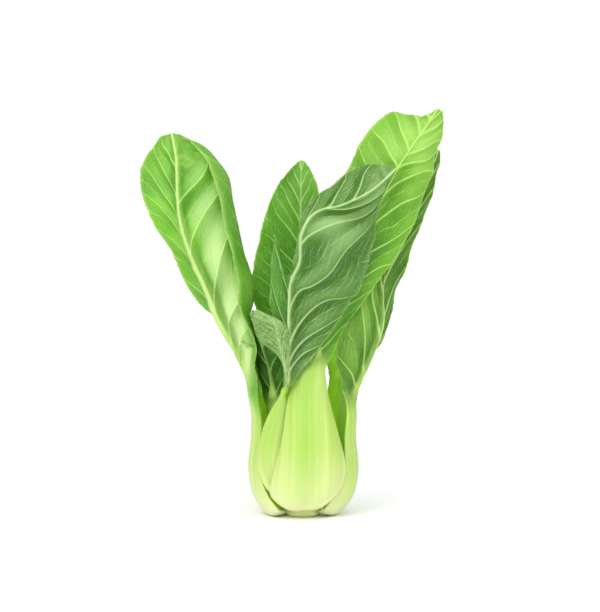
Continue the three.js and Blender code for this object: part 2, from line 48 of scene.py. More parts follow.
# Sizes of the solids, in mm. NECK_LENGTH is in stations, RIGHT_WAVE_LEAD in radians.
BLADE_THICKNESS = 0.7
STALK_EDGE = 1.2
MIDRIB_START = 2.4
MIDRIB_END = 0.6
NECK_SINK = 2.8
NECK_LENGTH = 1.1
RIGHT_WAVE_LEAD = 1.7
STEM_FRONT_STRETCH = 1.35

# The finer relief, in mm. PILLOW_SPAN is how far apart two veins are where the blade between
# them swells fully.
NICK_DEPTH = 0.5
VEIN_WIDTH = 0.5
VEIN_RELIEF = 0.32
VEIN_GROOVE = 0.12
PILLOW_SPAN = 9
CELL_RELIEF = 0.07
FIBRE_RELIEF = 0.012
LEAST_GAP = 0.3

# For the shader: the height that marks a lobe, how many fine branches lie between the midrib and
# the margin, and the roughness of the stalks.
LOBE_HEIGHT = -1
BRANCHES = 8.5
STALK_ROUGHNESS = 0.4

# The leaves, with these entries:
# stations: points on the left margin, the midrib and the right margin, from base to tip
# inner: 1 where the inner face is turned to the front, -1 where the back is
# rib_side: 1 where the midrib lies on the inner face of the blade, -1 on its back
# blade_from and rib_to: the stations where the blade starts and the midrib is thinnest
# roll: the fold line of a right half, how far across it lies and the station where it starts
# bow: how far the stalk and the blade bow out, left and right, as a share of a half's width
# wave: height in mm, count and phase of the margin's waves
# grid: rows and columns of the fine mesh
# pucker and sag: how far in mm the blade swells between its veins and sags at large
# green_down: how much lower, in stations, the green reaches on the right side of the stalk
# rib_line: half the width in mm of the pale line along the midrib, at its foot
# painted_bands: how strongly painted shade and painted light run from vein to vein, as if each
# swelling between two veins were lit from above
# painted_lights: broad painted shadows and painted highlights laid on the blade: place across from -1
# to 1, width, place up the blade from 0 to 1, height, and strength, below zero where it is a painted
# shadow
# veins: side veins placed one by one, right (1) and left (-1): station at the midrib, station at the
# margin, bend
# vein_step: stations from vein to vein elsewhere
LEAVES = {}
LEAVES["leaf_left"] = {
    "blade_from": 5.4,
    "rib_to": 12.6,
    "thickness": 4.2,
    "bow": [(0.13, 0.1), (-0.2, 0.2)],
    "wave": (1.1, 4.2, 0.4),
    "grid": (230, 111),
    "pucker": 1.1,
    "sag": 0.9,
    "green_down": 1.1,
    "rib_line": 0.6,
    "painted_bands": 0.15,
    "painted_lights": [
        (-0.12, 0.15, 0.45, 0.36, -1.3), (-0.75, 0.3, 0.3, 0.3, -0.3),
        (0.2, 0.16, 0.42, 0.3, 0.9), (0.32, 0.24, 0.18, 0.16, 0.95), (0.48, 0.16, 0.5, 0.3, -0.35),
    ],
    "veins": {
        1: [(6.2, 8.6, 0.6), (6.9, 10.6, 0.6), (8.2, 12.2, 0.6), (9.9, 13.2, 0.62), (11.4, 13.9, 0.7)],
        -1: [
            (6.4, 8.2, 0.9), (7.2, 9.4, 0.9), (8.3, 10.7, 0.9), (9.5, 11.8, 0.9),
            (10.6, 12.8, 0.9), (11.7, 13.5, 0.9), (12.7, 14.1, 0.9),
        ],
    },
    "stations": [
        [[-8.5, 7.5, 2.6], [-11, -1, 0.8], [-8.4, -10.5, 2]],
        [[-13.5, 14, 5], [-17.5, -0.5, 0.6], [-12.6, -17.2, 4.4]],
        [[-16, 17, 12], [-24, 0.3, 9.2], [-17.9, -15.8, 12]],
        [[-16.8, 18, 24], [-26.4, 1, 22], [-21.4, -11.6, 25]],
        [[-16.4, 16.8, 40], [-25.1, 1, 38], [-20.4, -11, 40]],
        [[-17.6, 13.4, 55], [-25.2, 0.6, 54], [-21, -10.3, 56]],
        [[-24, 8.5, 68], [-28.2, -0.5, 68], [-22, -10, 69]],
        [[-33.5, 7, 83], [-33.8, -3, 81.5], [-23.8, -10, 81.5]],
        [[-44.5, 5.2, 95], [-40.5, -5.6, 95], [-28.2, -9.8, 95.5]],
        [[-54.5, 5, 109], [-46.7, -7.2, 110], [-31, -9.3, 110.5]],
        [[-64.5, 5, 126.5], [-54.2, -8.2, 126.5], [-34.3, -8.8, 126.5]],
        [[-73.6, 4.6, 145], [-59, -8.4, 143], [-38.6, -8.4, 145]],
        [[-78.8, 3.4, 158.5], [-60.2, -8, 158], [-43.6, -8, 163]],
        [[-75.2, 1, 171.3], [-60.4, -6.8, 171.5], [-51.4, -7, 177.4]],
        [[-68, -3.2, 182], [-62.4, -5, 183.8], [-57.4, -5.8, 181.8]],
    ],
    "roll": {
        "at": 0.78,
        "from": 7,
        "points": [
            [-24.3, -7.8, 82], [-25.4, -5.6, 94], [-25.6, -4.2, 108.5], [-29.2, -3.4, 128],
            [-32.6, -3, 147], [-37.6, -3, 162.5], [-47.4, -4.2, 176], [-57.8, -5.2, 182.2],
        ],
    },
}
LEAVES["leaf_right"] = {
    "blade_from": 4.9,
    "rib_to": 12.6,
    "thickness": 4.2,
    "bow": [(0.1, 0.1), (0.1, 0.06)],
    "wave": (0.9, 4.4, 1.2),
    "grid": (230, 111),
    "pucker": 0.7,
    "sag": 0.5,
    "rib_line": 0.6,
    "painted_lights": [(-0.6, 0.4, 0.5, 0.4, 0.35), (0.6, 0.4, 0.4, 0.4, -0.4)],
    "veins": {
        1: [(6.2, 8, 0.8), (7.5, 9.6, 0.8), (8.9, 10.9, 0.8), (10.2, 12, 0.8), (11.5, 13, 0.8)],
        -1: [
            (5.2, 7, 0.8), (5.8, 9.6, 0.8), (7.4, 10.5, 0.8),
            (8.8, 11.4, 0.8), (10.2, 12.4, 0.8), (11.6, 13.4, 0.8),
        ],
    },
    "stations": [
        [[7.6, -10.2, 2], [11, -1, 0.8], [9.5, 5.5, 2.6]],
        [[11.8, -16.6, 5.6], [17.5, -0.5, 0.6], [12.8, 12, 5.6]],
        [[17.4, -15, 14], [24.4, 0.3, 9.2], [15, 13.8, 12.5]],
        [[20, -12.4, 25], [26.9, 1, 22], [16.2, 15.2, 24]],
        [[20.6, -11.2, 39], [25.6, 1, 38], [16.6, 13.8, 40]],
        [[21, -10.8, 53], [25.2, 0.2, 53], [18, 11.4, 54]],
        [[18, -11, 65.5], [28.4, -1.6, 66.5], [25.6, 8, 66]],
        [[16.1, -11.2, 77], [33.2, -3.4, 79.5], [34.4, 4.8, 79]],
        [[19, -11, 91], [37.4, -4.8, 94.5], [41.2, 2.4, 95.5]],
        [[25.5, -9, 104], [37.6, -4.8, 110], [46.4, 1.4, 110.5]],
        [[33, -7.4, 121], [40.6, -4.4, 127], [51.8, 0.6, 126.5]],
        [[42, -6.2, 138], [47.6, -4, 144], [58.5, -0.2, 143]],
        [[51, -5.6, 153], [56, -3.6, 159], [63.2, -1.2, 159]],
        [[59, -5.2, 167], [62, -4, 170.5], [65.4, -2.6, 170.5]],
        [[62.4, -4.8, 174], [63.9, -4.4, 176], [65.2, -3.6, 175.4]],
    ],
}
LEAVES["leaf_front"] = {
    "blade_from": 6.2,
    "rib_to": 12.6,
    "thickness": 4.6,
    "bow": [(0.16, 0.18), (0.06, 0.07)],
    "wave": (1.2, 4.6, 2.2),
    "grid": (230, 111),
    "pucker": 0.7,
    "rib_line": 0.6,
    "painted_bands": 0.15,
    "painted_lights": [
        (0.1, 0.7, 0.8, 0.22, 0.65), (0.2, 0.2, 0.6, 0.1, -0.6), (0.5, 0.2, 0.42, 0.12, -0.7),
        (0.8, 0.2, 0.2, 0.1, -0.7), (0, 1.5, 0.02, 0.07, -1),
    ],
    "vein_step": 0.7,
    "stations": [
        [[-6.4, -10.6, 6.8], [0.5, -12.4, 5.4], [7, -10.6, 6.8]],
        [[-13.2, -15, 8.2], [1.4, -18.8, 4.6], [12.4, -15, 9]],
        [[-15.8, -19, 13.5], [2.2, -25.6, 10.5], [18.4, -16.4, 15]],
        [[-13.4, -21, 25.5], [3, -27.3, 25], [20.4, -15.4, 25.5]],
        [[-9.8, -21, 40], [3.5, -26.2, 40], [17.2, -16, 40]],
        [[-7.8, -18.8, 55], [3.2, -23.8, 55], [13.2, -16.6, 55]],
        [[-4.6, -17, 70], [4.4, -20.6, 70], [10.3, -16.6, 70]],
        [[-4.5, -15, 86], [6.6, -17.6, 84.5], [15.4, -14.4, 80.5]],
        [[-4, -13.5, 108], [13, -16.8, 102], [24.8, -13.2, 98.5]],
        [[4, -11.5, 134], [23, -16.2, 124], [37.6, -12, 115]],
        [[12, -9.5, 155], [34.4, -16, 147], [51, -11, 136.5]],
        [[20, -8.6, 165.5], [44, -15.6, 166], [58.6, -10.4, 157.5]],
        [[31, -8.6, 184.6], [50.8, -15.6, 176.4], [63, -10.6, 170]],
        [[42.8, -9.6, 194.2], [57.9, -15.5, 186.6], [66.4, -11.4, 183]],
        [[55.2, -12.8, 187.6], [64, -15.4, 196], [66.4, -13.4, 194]],
    ],
}
LEAVES["leaf_front_left"] = {
    "rib_side": 1,
    "blade_from": 6.3,
    "rib_to": 15.4,
    "thickness": 3.8,
    "bow": [(0.16, 0.12), (0.05, 0.12)],
    "wave": (1, 5.2, 0),
    "grid": (290, 111),
    "pucker": 1.7,
    "rib_line": 1.1,
    "painted_bands": 0.24,
    "painted_lights": [
        (-0.5, 0.45, 0.2, 0.25, -0.25), (0.35, 0.3, 0.68, 0.08, 0.6),
        (0.5, 0.4, 0.9, 0.1, 0.25), (0.3, 0.2, 0.12, 0.12, -0.6),
    ],
    "veins": {
        1: [
            (6.9, 8.7, 0.8), (7.35, 9.6, 0.8), (7.95, 11.2, 0.82),
            (9.1, 14.7, 0.88), (12.5, 15.4, 0.75), (14.4, 16.2, 0.8),
        ],
        -1: [
            (7.6, 8.8, 0.8), (8.6, 9.5, 0.8), (9.85, 10.02, 1),
            (13.4, 14.6, 0.8), (14.4, 15.5, 0.8), (15.3, 16.3, 0.8),
        ],
    },
    "stations": [
        [[-7.4, -3.5, 8.8], [-5.6, -7, 8], [-1, -8.4, 8.8]],
        [[-12, -11.5, 9.6], [-9.6, -13.4, 9], [-3.5, -13.6, 10.5]],
        [[-17.6, -16.6, 14.6], [-13.6, -17, 14.8], [-5, -16.2, 16]],
        [[-21.6, -14.2, 25], [-17.6, -18, 25.5], [-6.4, -17.2, 26]],
        [[-20.4, -13.8, 38.5], [-16, -17.8, 39], [-6, -16.4, 40]],
        [[-16.2, -15.8, 50.5], [-12.3, -18.6, 51.5], [-6.8, -16.8, 52]],
        [[-10.6, -18.6, 60], [-9.2, -20.6, 60.5], [-8.2, -20, 61]],
        [[-9, -21.4, 67], [-7.3, -23.6, 68], [-3.8, -24.8, 67]],
        [[-13, -19.8, 88], [-6.7, -25, 81], [4.5, -24.6, 77.5]],
        [[-16.2, -19.8, 107], [-6.7, -26, 96], [12, -23, 89]],
        [[-13.4, -20.4, 136.5], [-6.4, -26.6, 110], [21, -20.9, 101]],
        [[-7.6, -25.4, 117.6], [-5.4, -26.6, 115.4], [24.8, -20.2, 106.6]],
        [[-3.8, -25.8, 126], [-1.6, -27, 124], [29.4, -19.5, 115.5]],
        [[-2.8, -25.6, 138.4], [-0.7, -27.2, 137], [33, -19.2, 129]],
        [[3.2, -21, 149.8], [6, -27, 147], [35, -19.4, 139.5]],
        [[14, -18.4, 161], [19, -26, 150.6], [36.5, -20, 148.8]],
        [[28, -18.4, 169], [32.6, -24, 157.4], [38.9, -21, 157.8]],
        [[41, -19, 169.4], [44, -20.6, 167.4], [42.8, -20.4, 165]],
    ],
    # A lobe at the foot of the blade that turns forward beside the midrib.
    "lobe": {
        "rib_side": 1,
        "blade_from": 0,
        "bow": [(0.08, 0.02), (0.08, 0.02)],
        "wave": (0.3, 1.5, 0),
        "grid": (70, 60),
        "veins": {
            1: [(1.4, 2.8, 0.7), (2.5, 3.9, 0.7)],
            -1: [(1.2, 2.9, 0.7), (2.2, 3.8, 0.7), (3.1, 4.6, 0.7)],
        },
        "stations": [
            [[-8.4, -22.6, 63.6], [-7.7, -23, 63.4], [-7, -23.2, 63.6]],
            [[-9, -24, 72], [-8.2, -25.4, 72.4], [-6.6, -25.2, 73]],
            [[-11.6, -24.8, 79], [-9.9, -27.2, 80], [-6.5, -26.2, 81.5]],
            [[-20.4, -24, 86.6], [-12, -28.2, 89], [-6.6, -26.6, 91]],
            [[-23.6, -22.6, 93.6], [-14, -27.8, 95.4], [-8.5, -27.2, 94.2]],
            [[-25.2, -21.6, 98.8], [-21.6, -24, 101], [-13.8, -26.8, 97.6]],
        ],
    },
}
LEAVES["leaf_back_right"] = {
    "inner": 1,
    "blade_from": 5,
    "rib_to": 10.8,
    "thickness": 4.2,
    "bow": [(0.06, 0.1), (0.08, 0.08)],
    "wave": (1.3, 3.6, 0.9),
    "grid": (150, 81),
    "stations": [
        [[1.6, 10.6, 2.4], [5.4, 11.4, 1], [8.2, 9.6, 2.6]],
        [[1.5, 17.6, 4.8], [8.6, 18.6, 2.8], [14, 15.8, 7]],
        [[1.5, 23.4, 12], [11.4, 23.4, 12], [19, 17.2, 14.5]],
        [[2, 26, 25], [12.8, 25.2, 25], [21, 17.6, 26]],
        [[6, 25.4, 42], [14.8, 25, 42], [21.6, 17.4, 42]],
        [[12, 24, 57], [17.4, 25, 57], [22.4, 17.6, 57]],
        [[12, 24, 69], [19.6, 27, 70], [26.2, 21.2, 69]],
        [[9, 25.6, 82], [21.6, 30, 85], [31.4, 24.4, 82]],
        [[9, 28, 99], [24, 33.4, 102], [35.6, 26.8, 98]],
        [[12.6, 31.6, 118], [27, 36.8, 120], [40, 29.8, 117]],
        [[17.6, 34.6, 136], [31, 39.6, 138], [43.6, 33.2, 134]],
        [[25, 37.8, 151], [36, 41.6, 152], [45, 36.8, 149]],
        [[33.4, 41.2, 160], [38.6, 42.6, 161.6], [43, 40.4, 159.4]],
    ],
}
LEAVES["leaf_back_left"] = {
    "inner": 1,
    "blade_from": 5,
    "rib_to": 10.8,
    "thickness": 4.2,
    "bow": [(0.14, 0.08), (0.08, 0.08)],
    "wave": (1.3, 3.8, 2.6),
    "grid": (150, 81),
    "stations": [
        [[-8.6, 8.4, 3.4], [-5.2, 10.8, 1.6], [-1, 11.2, 3.2]],
        [[-10.4, 10.6, 7.6], [-7, 17.4, 3], [0.4, 16.4, 7]],
        [[-12.8, 11.6, 15], [-8, 21.6, 12.5], [3, 19.4, 15]],
        [[-13.4, 12.2, 26], [-8, 23.2, 25], [4.4, 21, 26]],
        [[-13, 14, 42], [-8, 23.2, 42], [3.4, 21, 42]],
        [[-13, 17.6, 57], [-8.4, 24.4, 57], [0, 22, 57]],
        [[-16, 21, 70], [-9.4, 26.8, 70], [-1.4, 24, 70]],
        [[-20, 23.4, 84], [-9.8, 30.2, 85], [0.4, 27, 84]],
        [[-22, 26.4, 100], [-9.6, 34.2, 102], [4.4, 30.6, 100]],
        [[-21, 29.4, 117], [-8.8, 37.8, 119], [6.4, 34.2, 117]],
        [[-18, 32.4, 132], [-7.6, 40.2, 135], [6.2, 37, 132]],
        [[-13, 35.6, 146], [-6.6, 41.6, 149], [3.4, 39.2, 146]],
        [[-8.6, 40, 156], [-5.4, 42.2, 158], [-1.8, 41, 156]],
    ],
}
LEAVES["leaf_inner_back"] = {
    "inner": 1,
    "blade_from": 4.3,
    "rib_to": 10,
    "thickness": 3.4,
    "bow": [(0.2, 0.2), (0.07, 0.07)],
    "wave": (0.8, 3.4, 1.8),
    "grid": (160, 81),
    "painted_lights": [(0, 0.7, 0.85, 0.25, 0.35), (-0.2, 0.6, 0.3, 0.3, -0.6)],
    "vein_step": 0.6,
    "stations": [
        [[-3.2, 5.6, 10.4], [0.4, 7, 9.4], [4, 5.6, 10.4]],
        [[-6.4, 8.4, 17], [0.5, 13, 16], [7, 8.4, 17]],
        [[-7.6, 9.4, 32], [0.5, 14.6, 32], [8, 9.4, 32]],
        [[-6.8, 8.8, 50], [0, 12.8, 50], [6.6, 8.8, 50]],
        [[-6, 7.4, 66], [-0.8, 10.6, 66], [4.6, 7.2, 66]],
        [[-13, 5.4, 81], [-1.2, 8.4, 82], [8, 4.6, 81]],
        [[-22, 3.2, 96], [-1.4, 6.4, 99], [13.6, 2, 97]],
        [[-24.4, 2, 112], [-1.3, 5, 116], [15, 0.4, 114]],
        [[-21.8, 1.4, 131], [-1.2, 4, 133], [14, -0.6, 131]],
        [[-16.6, 0.8, 148.5], [-1, 3.2, 149], [10.2, -1, 149.5]],
        [[-9, 0.8, 162.6], [-0.8, 2.2, 162], [5.4, -0.4, 162.4]],
        [[-2.8, 1, 169.2], [-0.9, 1.4, 170.4], [1.2, 0.6, 169.4]],
    ],
}
LEAVES["leaf_inner_left"] = {
    "blade_from": 3.5,
    "rib_to": 7,
    "thickness": 3,
    "bow": [(0.18, 0.18), (0.08, 0.08)],
    "wave": (0.6, 2.6, 0.6),
    "grid": (130, 71),
    "stations": [
        [[-3.6, 3, 12.4], [-5.2, 0, 11.4], [-3.6, -3, 12.4]],
        [[-9, 5.8, 19], [-12, 0, 18], [-9, -6, 19]],
        [[-10.6, 5.6, 33], [-14.4, -1, 33], [-10.4, -7.8, 33]],
        [[-15.5, 4.2, 48.5], [-15, -3.4, 47], [-10.4, -9.6, 47]],
        [[-19.4, 2.4, 57], [-15.3, -6.4, 58], [-9.6, -11, 58]],
        [[-22, 0.2, 69], [-16, -8.4, 70], [-9, -12.2, 68]],
        [[-25.6, 1, 82], [-18.4, -9.4, 80], [-10, -13, 79]],
        [[-26, 1.6, 92], [-20.4, -9.2, 90], [-13, -13, 89]],
        [[-24.4, 0.6, 98.4], [-20.4, -7.5, 98.8], [-17.4, -11.2, 97]],
    ],
}
LEAVES["leaf_heart_front"] = {
    "blade_from": 3,
    "rib_to": 6,
    "thickness": 2.2,
    "bow": [(0.18, 0.18), (0.08, 0.08)],
    "wave": (0.5, 2.4, 0),
    "grid": (90, 51),
    "stations": [
        [[-2.8, -1.6, 16], [0, -3, 15.4], [2.8, -1.6, 16]],
        [[-4.4, -3.2, 25], [0, -6.2, 24], [4.4, -3.2, 25]],
        [[-4.4, -3.8, 40], [0.3, -7.2, 40], [4.4, -3.8, 40]],
        [[-4, -4.6, 54], [0.5, -7.8, 54], [4, -4.6, 54]],
        [[-6.4, -5, 66], [0.8, -9, 66], [6, -5, 66]],
        [[-7.8, -5, 80], [1, -9.8, 80], [7.4, -5.6, 80]],
        [[-6, -5.6, 92], [1, -9.6, 92], [6, -6, 92]],
        [[-1.6, -7, 99], [0.7, -8.4, 100], [3, -7, 99]],
    ],
}
LEAVES["leaf_heart_back"] = {
    "inner": 1,
    "blade_from": 3,
    "rib_to": 5.2,
    "thickness": 2,
    "bow": [(0.18, 0.18), (0.08, 0.08)],
    "wave": (0.4, 2.2, 1),
    "grid": (90, 51),
    "stations": [
        [[-2.6, 1.6, 16], [0, 3, 15.4], [2.6, 1.6, 16]],
        [[-4, 2.2, 25], [0, 5.2, 24.4], [4, 2.2, 25]],
        [[-4, 2.2, 39], [0, 5.2, 39], [4, 2.2, 39]],
        [[-3.6, 1.6, 51], [0, 4.4, 51], [3.6, 1.6, 51]],
        [[-5, 0.6, 62], [0, 3.4, 63], [5, 0.6, 62]],
        [[-5, 0, 73], [0, 2.4, 75], [5.4, 0, 73]],
        [[-1.6, 0, 82], [0.3, 1, 83], [2, 0, 82]],
    ],
}

# What a leaf has where its entry says nothing else.
LEAF_DEFAULTS = {
    "inner": -1,
    "rib_side": -1,
    "pucker": 0.8,
    "sag": 0.6,
    "green_down": 0,
    "rib_line": 0.7,
    "painted_bands": 0.12,
    "painted_lights": [],
    "veins": None,
    "vein_step": 0.85,
}


def smooth_step(low, high, value):
    share = np.clip((value - low) / (high - low), 0, 1)
    return share * share * (3 - 2 * share)


def bell(distance, reach):
    """1 at no distance, and nearly nothing at twice the reach."""
    return np.exp(-((distance / reach) ** 2))


def along(points, t):
    """The points at stations t on the smooth line through the given points."""
    last = len(points) - 1
    index = np.clip(np.floor(t).astype(int), 0, last - 1)
    u = (t - index)[..., None]
    b = points[index]
    c = points[index + 1]
    a = np.where((index > 0)[..., None], points[np.maximum(index - 1, 0)], 2 * b - c)
    d = np.where((index + 2 <= last)[..., None], points[np.minimum(index + 2, last)], 2 * c - b)
    return (
        a * (-u + 2 * u**2 - u**3)
        + b * (2 - 5 * u**2 + 3 * u**3)
        + c * (u + 4 * u**2 - 3 * u**3)
        + d * (-(u**2) + u**3)
    ) / 2


def unit(vectors):
    return vectors / np.maximum(np.linalg.norm(vectors, axis=-1, keepdims=True), 1e-9)


def across_half(middle, between, edge, at, u):
    """Points of the curve through the midline, a point in between and the edge."""
    at = at[..., None]
    u = u[..., None]
    slope_in = (between - middle) / at
    slope_out = (edge - between) / (1 - at)
    slope = slope_in * (1 - at) + slope_out * at
    start = 2 * slope_in - slope
    end = 2 * slope_out - slope
    first = u <= at
    p = np.where(first, middle, between)
    q = np.where(first, between, edge)
    m = np.where(first, start, slope)
    n = np.where(first, slope, end)
    length = np.where(first, at, 1 - at)
    w = np.where(first, u / at, (u - at) / (1 - at))
    return (
        p * (2 * w**3 - 3 * w**2 + 1)
        + m * (w**3 - 2 * w**2 + w) * length
        + q * (3 * w**2 - 2 * w**3)
        + n * (w**3 - w**2) * length
    )


class LeafSurface:
    """The middle surface of a leaf over t, in stations from base to tip, and v from -1 to 1."""

    def __init__(self, leaf):
        self.leaf = leaf
        stations = np.array(leaf["stations"], dtype=float)
        self.left, self.middle, self.right = (stations[:, i] for i in range(3))
        self.last = len(stations) - 1

    def slope(self, line, t, step):
        """The way from just before each station to just after it."""
        return line(np.clip(t + step, 0, self.last)) - line(np.clip(t - step, 0, self.last))

    def margin(self, side, t):
        return along(self.left if side < 0 else self.right, t)

    def half_normal(self, side, t):
        """The unit normals of one half, towards the leaf's inner face."""
        tangent = self.slope(lambda at: along(self.middle, at), t, 0.05)
        across = self.margin(side, t) - along(self.middle, t)
        return unit(np.cross(tangent, across) * (-side * self.leaf["inner"]))

    def neck_share(self, t):
        """Where the stalk passes behind the blade."""
        start = self.leaf["blade_from"]
        rise = smooth_step(start - 1, start - 0.1, t)
        return rise * (1 - smooth_step(start, start + 3, t))

    def half(self, side, t, u):
        """The points of one half at u from 0 on the midrib to 1 on the margin."""
        leaf = self.leaf
        middle = along(self.middle, t)
        edge = self.margin(side, t)
        normal = self.half_normal(side, t)
        start = leaf["blade_from"]
        spread = smooth_step(start - 0.5, start + 0.5, t)
        stalk_bow, blade_bow = (pair[0 if side < 0 else 1] for pair in leaf["bow"])
        bow = stalk_bow * (1 - spread) + blade_bow * spread
        at = np.full_like(t, 0.5)
        rolls = "roll" in leaf and side > 0
        if rolls:
            roll = leaf["roll"]
            rolled = smooth_step(roll["from"] - 1, roll["from"], t)
            at = 0.5 + (roll["at"] - 0.5) * rolled
        swell = -bow * np.linalg.norm(edge - middle, axis=-1) * 4 * at * (1 - at)
        between = middle + (edge - middle) * at[..., None] + normal * swell[..., None]
        if rolls:
            line = along(np.array(roll["points"], dtype=float), np.maximum(0, t - roll["from"]))
            between = between + (line - between) * rolled[..., None]
        result = across_half(middle, between, edge, at, u)
        if leaf["rib_side"] < 0:
            sink = NECK_SINK * self.neck_share(t) * (1 - u * u)
            both = unit(normal + self.half_normal(-side, t))
            result = result + both * sink[..., None]
        share = (t - start) / (self.last - start)
        wave_height, wave_count, phase = leaf["wave"]
        turn = 2 * np.pi * wave_count * share + phase + (RIGHT_WAVE_LEAD if side > 0 else 0)
        fade = np.clip(4 * share, 0, 1) * np.clip(5 * (1 - share), 0, 1) * u**3
        return result + normal * (wave_height * fade * np.sin(turn))[..., None]

    def point(self, t, v):
        u = np.abs(v)
        return np.where((v < 0)[..., None], self.half(-1, t, u), self.half(1, t, u))

    def normal(self, t, v):
        """The unit normals, towards the inner face."""
        step = 0.02
        up = self.slope(lambda at: self.point(at, v), t, step)
        over = self.point(t, np.clip(v + step, -1, 1)) - self.point(t, np.clip(v - step, -1, 1))
        return unit(np.cross(over, up) * self.leaf["inner"])

    def grid(self, rows, v_line):
        """Stations and places across for every point, and how many mm one of each spans there."""
        t_line = np.linspace(0, self.last, rows)
        t, v = np.meshgrid(t_line, v_line, indexing="ij")
        base = self.point(t, v)
        mm_t = np.linalg.norm(np.gradient(base, t_line, axis=0), axis=-1) + 1e-3
        mm_v = np.linalg.norm(np.gradient(base, v_line, axis=1), axis=-1) + 1e-3
        return t, v, mm_t, mm_v

    def stalk_share(self, t):
        """How much of the leaf's width its stalk or midrib takes."""
        start = self.leaf["blade_from"]
        one = np.ones_like(t)
        width = np.linalg.norm(self.point(t, one) - self.point(t, -one), axis=-1)
        tip = smooth_step(start, self.leaf["rib_to"], t)
        rib_share = np.minimum(1, (1.9 * (1 - tip) + 1) / width)
        neck = smooth_step(start - 0.1, start + NECK_LENGTH, t)
        return 1 - (1 - rib_share) * neck


def soft_noise(rng, t, u, waves):
    """A smooth random field over two coordinates, between about -1 and 1."""
    total = np.zeros(np.broadcast(t, u).shape)
    for _ in range(waves):
        kt, ku, phase = rng.uniform(0.4, 2.2), rng.uniform(-2.2, 2.2), rng.uniform(0, 2 * np.pi)
        total = total + np.sin(kt * t + ku * u + phase)
    return total / math.sqrt(waves)


def chosen_veins(leaf, surface, rng):
    """The side veins of a leaf whose veins are not placed by hand."""
    start = leaf["blade_from"] + 0.15
    end = surface.last - 0.7
    count = max(4, round((end - start) / leaf["vein_step"]))
    made = {-1: [], 1: []}
    for half in made.values():
        for i in range(count):
            at = start + (end - start) * (i + rng.uniform(-0.18, 0.18)) / (count - 1)
            rise = rng.uniform(1.35, 1.8) * (1 - 0.35 * i / count)
            half.append((at, at + rise, rng.uniform(0.62, 0.8)))
    return made


def vein_field(veins, t, v, mm_t, mm_v):
    """Where each point lies among its side veins: a count that is whole on a vein, the distance
    from vein to vein in mm and the distance to the nearest vein in mm."""
    u = np.abs(v)
    count = np.zeros_like(t)
    apart = np.zeros_like(t)
    for side in (-1, 1):
        here = v * side >= 0
        paths, slopes = [], []
        for at, to, bend in sorted(veins[side]):
            wobble = 0.07 * np.sin(8 * u + 5 * at + side) * u
            paths.append(at + (to - at) * u**bend + wobble)
            slopes.append((to - at) * bend * np.maximum(u, 0.05) ** (bend - 1))
        first, last = paths[0], paths[-1]
        gap = paths[1] - paths[0]
        value = -np.minimum(0.5, (first - t) / gap)
        step, slope = gap, slopes[0]
        for i in range(1, len(paths)):
            gap = np.maximum(paths[i] - paths[i - 1], 0.05)
            inside = (t >= paths[i - 1]) & (t < paths[i])
            value = np.where(inside, i - 1 + (t - paths[i - 1]) / gap, value)
            step = np.where(inside, gap, step)
            slope = np.where(inside, (slopes[i] + slopes[i - 1]) / 2, slope)
        beyond = t >= last
        value = np.where(beyond, len(paths) - 1 + np.minimum(0.5, (t - last) / gap), value)
        step = np.where(beyond, gap, step)
        slope = np.where(beyond, slopes[-1], slope)
        count = np.where(here, value, count)
        apart = np.where(here, step / np.sqrt(1 / mm_t**2 + (slope / mm_v) ** 2), apart)
    return count, apart, np.abs(count - np.round(count)) * apart


def run_lengths(points, axis):
    """How far each point of a grid lies from the first one along the axis."""
    first = np.take(points, [0], axis)
    return np.cumsum(np.linalg.norm(np.diff(points, axis=axis, prepend=first), axis=-1), axis=axis)


def fine_mesh(name, outer, inner, uv, values, flip):
    """One closed skin over two grids of points, in millimetres, with its values per point."""
    rows, columns = outer.shape[:2]
    count = rows * columns
    points = np.concatenate([outer.reshape(-1, 3), inner.reshape(-1, 3)]) * MM
    index = np.arange(count).reshape(rows, columns)
    a, b = index[:-1, :-1], index[:-1, 1:]
    c, d = index[1:, 1:], index[1:, :-1]
    quads = [np.stack([a, d, c, b], -1).reshape(-1, 4)]
    quads.append(np.stack([a, b, c, d], -1).reshape(-1, 4) + count)
    rim = np.concatenate([index[0, :-1], index[:-1, -1], index[-1, :0:-1], index[:0:-1, 0]])
    after = np.roll(rim, -1)
    quads.append(np.stack([rim, after, after + count, rim + count], -1))
    faces = np.concatenate(quads)
    if flip:
        faces = faces[:, ::-1]
    mesh = bpy.data.meshes.new(name)
    mesh.vertices.add(len(points))
    mesh.vertices.foreach_set("co", points.ravel())
    mesh.loops.add(faces.size)
    mesh.loops.foreach_set("vertex_index", faces.ravel().astype(np.int32))
    mesh.polygons.add(len(faces))
    mesh.polygons.foreach_set("loop_start", np.arange(0, faces.size, 4, dtype=np.int32))
    mesh.update(calc_edges=True)
    mesh.validate()
    layer = mesh.uv_layers.new(name="UVMap")
    flat_uv = np.concatenate([uv.reshape(-1, 2)] * 2)
    layer.uv.foreach_set("vector", flat_uv[faces.ravel()].ravel().astype(np.float32))
    for key, value in values.items():
        pair = value if isinstance(value, tuple) else (value, value)
        attribute = mesh.attributes.new(key, "FLOAT", "POINT")
        both = np.concatenate([np.asarray(side, dtype=np.float32).ravel() for side in pair])
        attribute.data.foreach_set("value", both)
    mesh.polygons.foreach_set("use_smooth", np.ones(len(faces), dtype=bool))
    return mesh


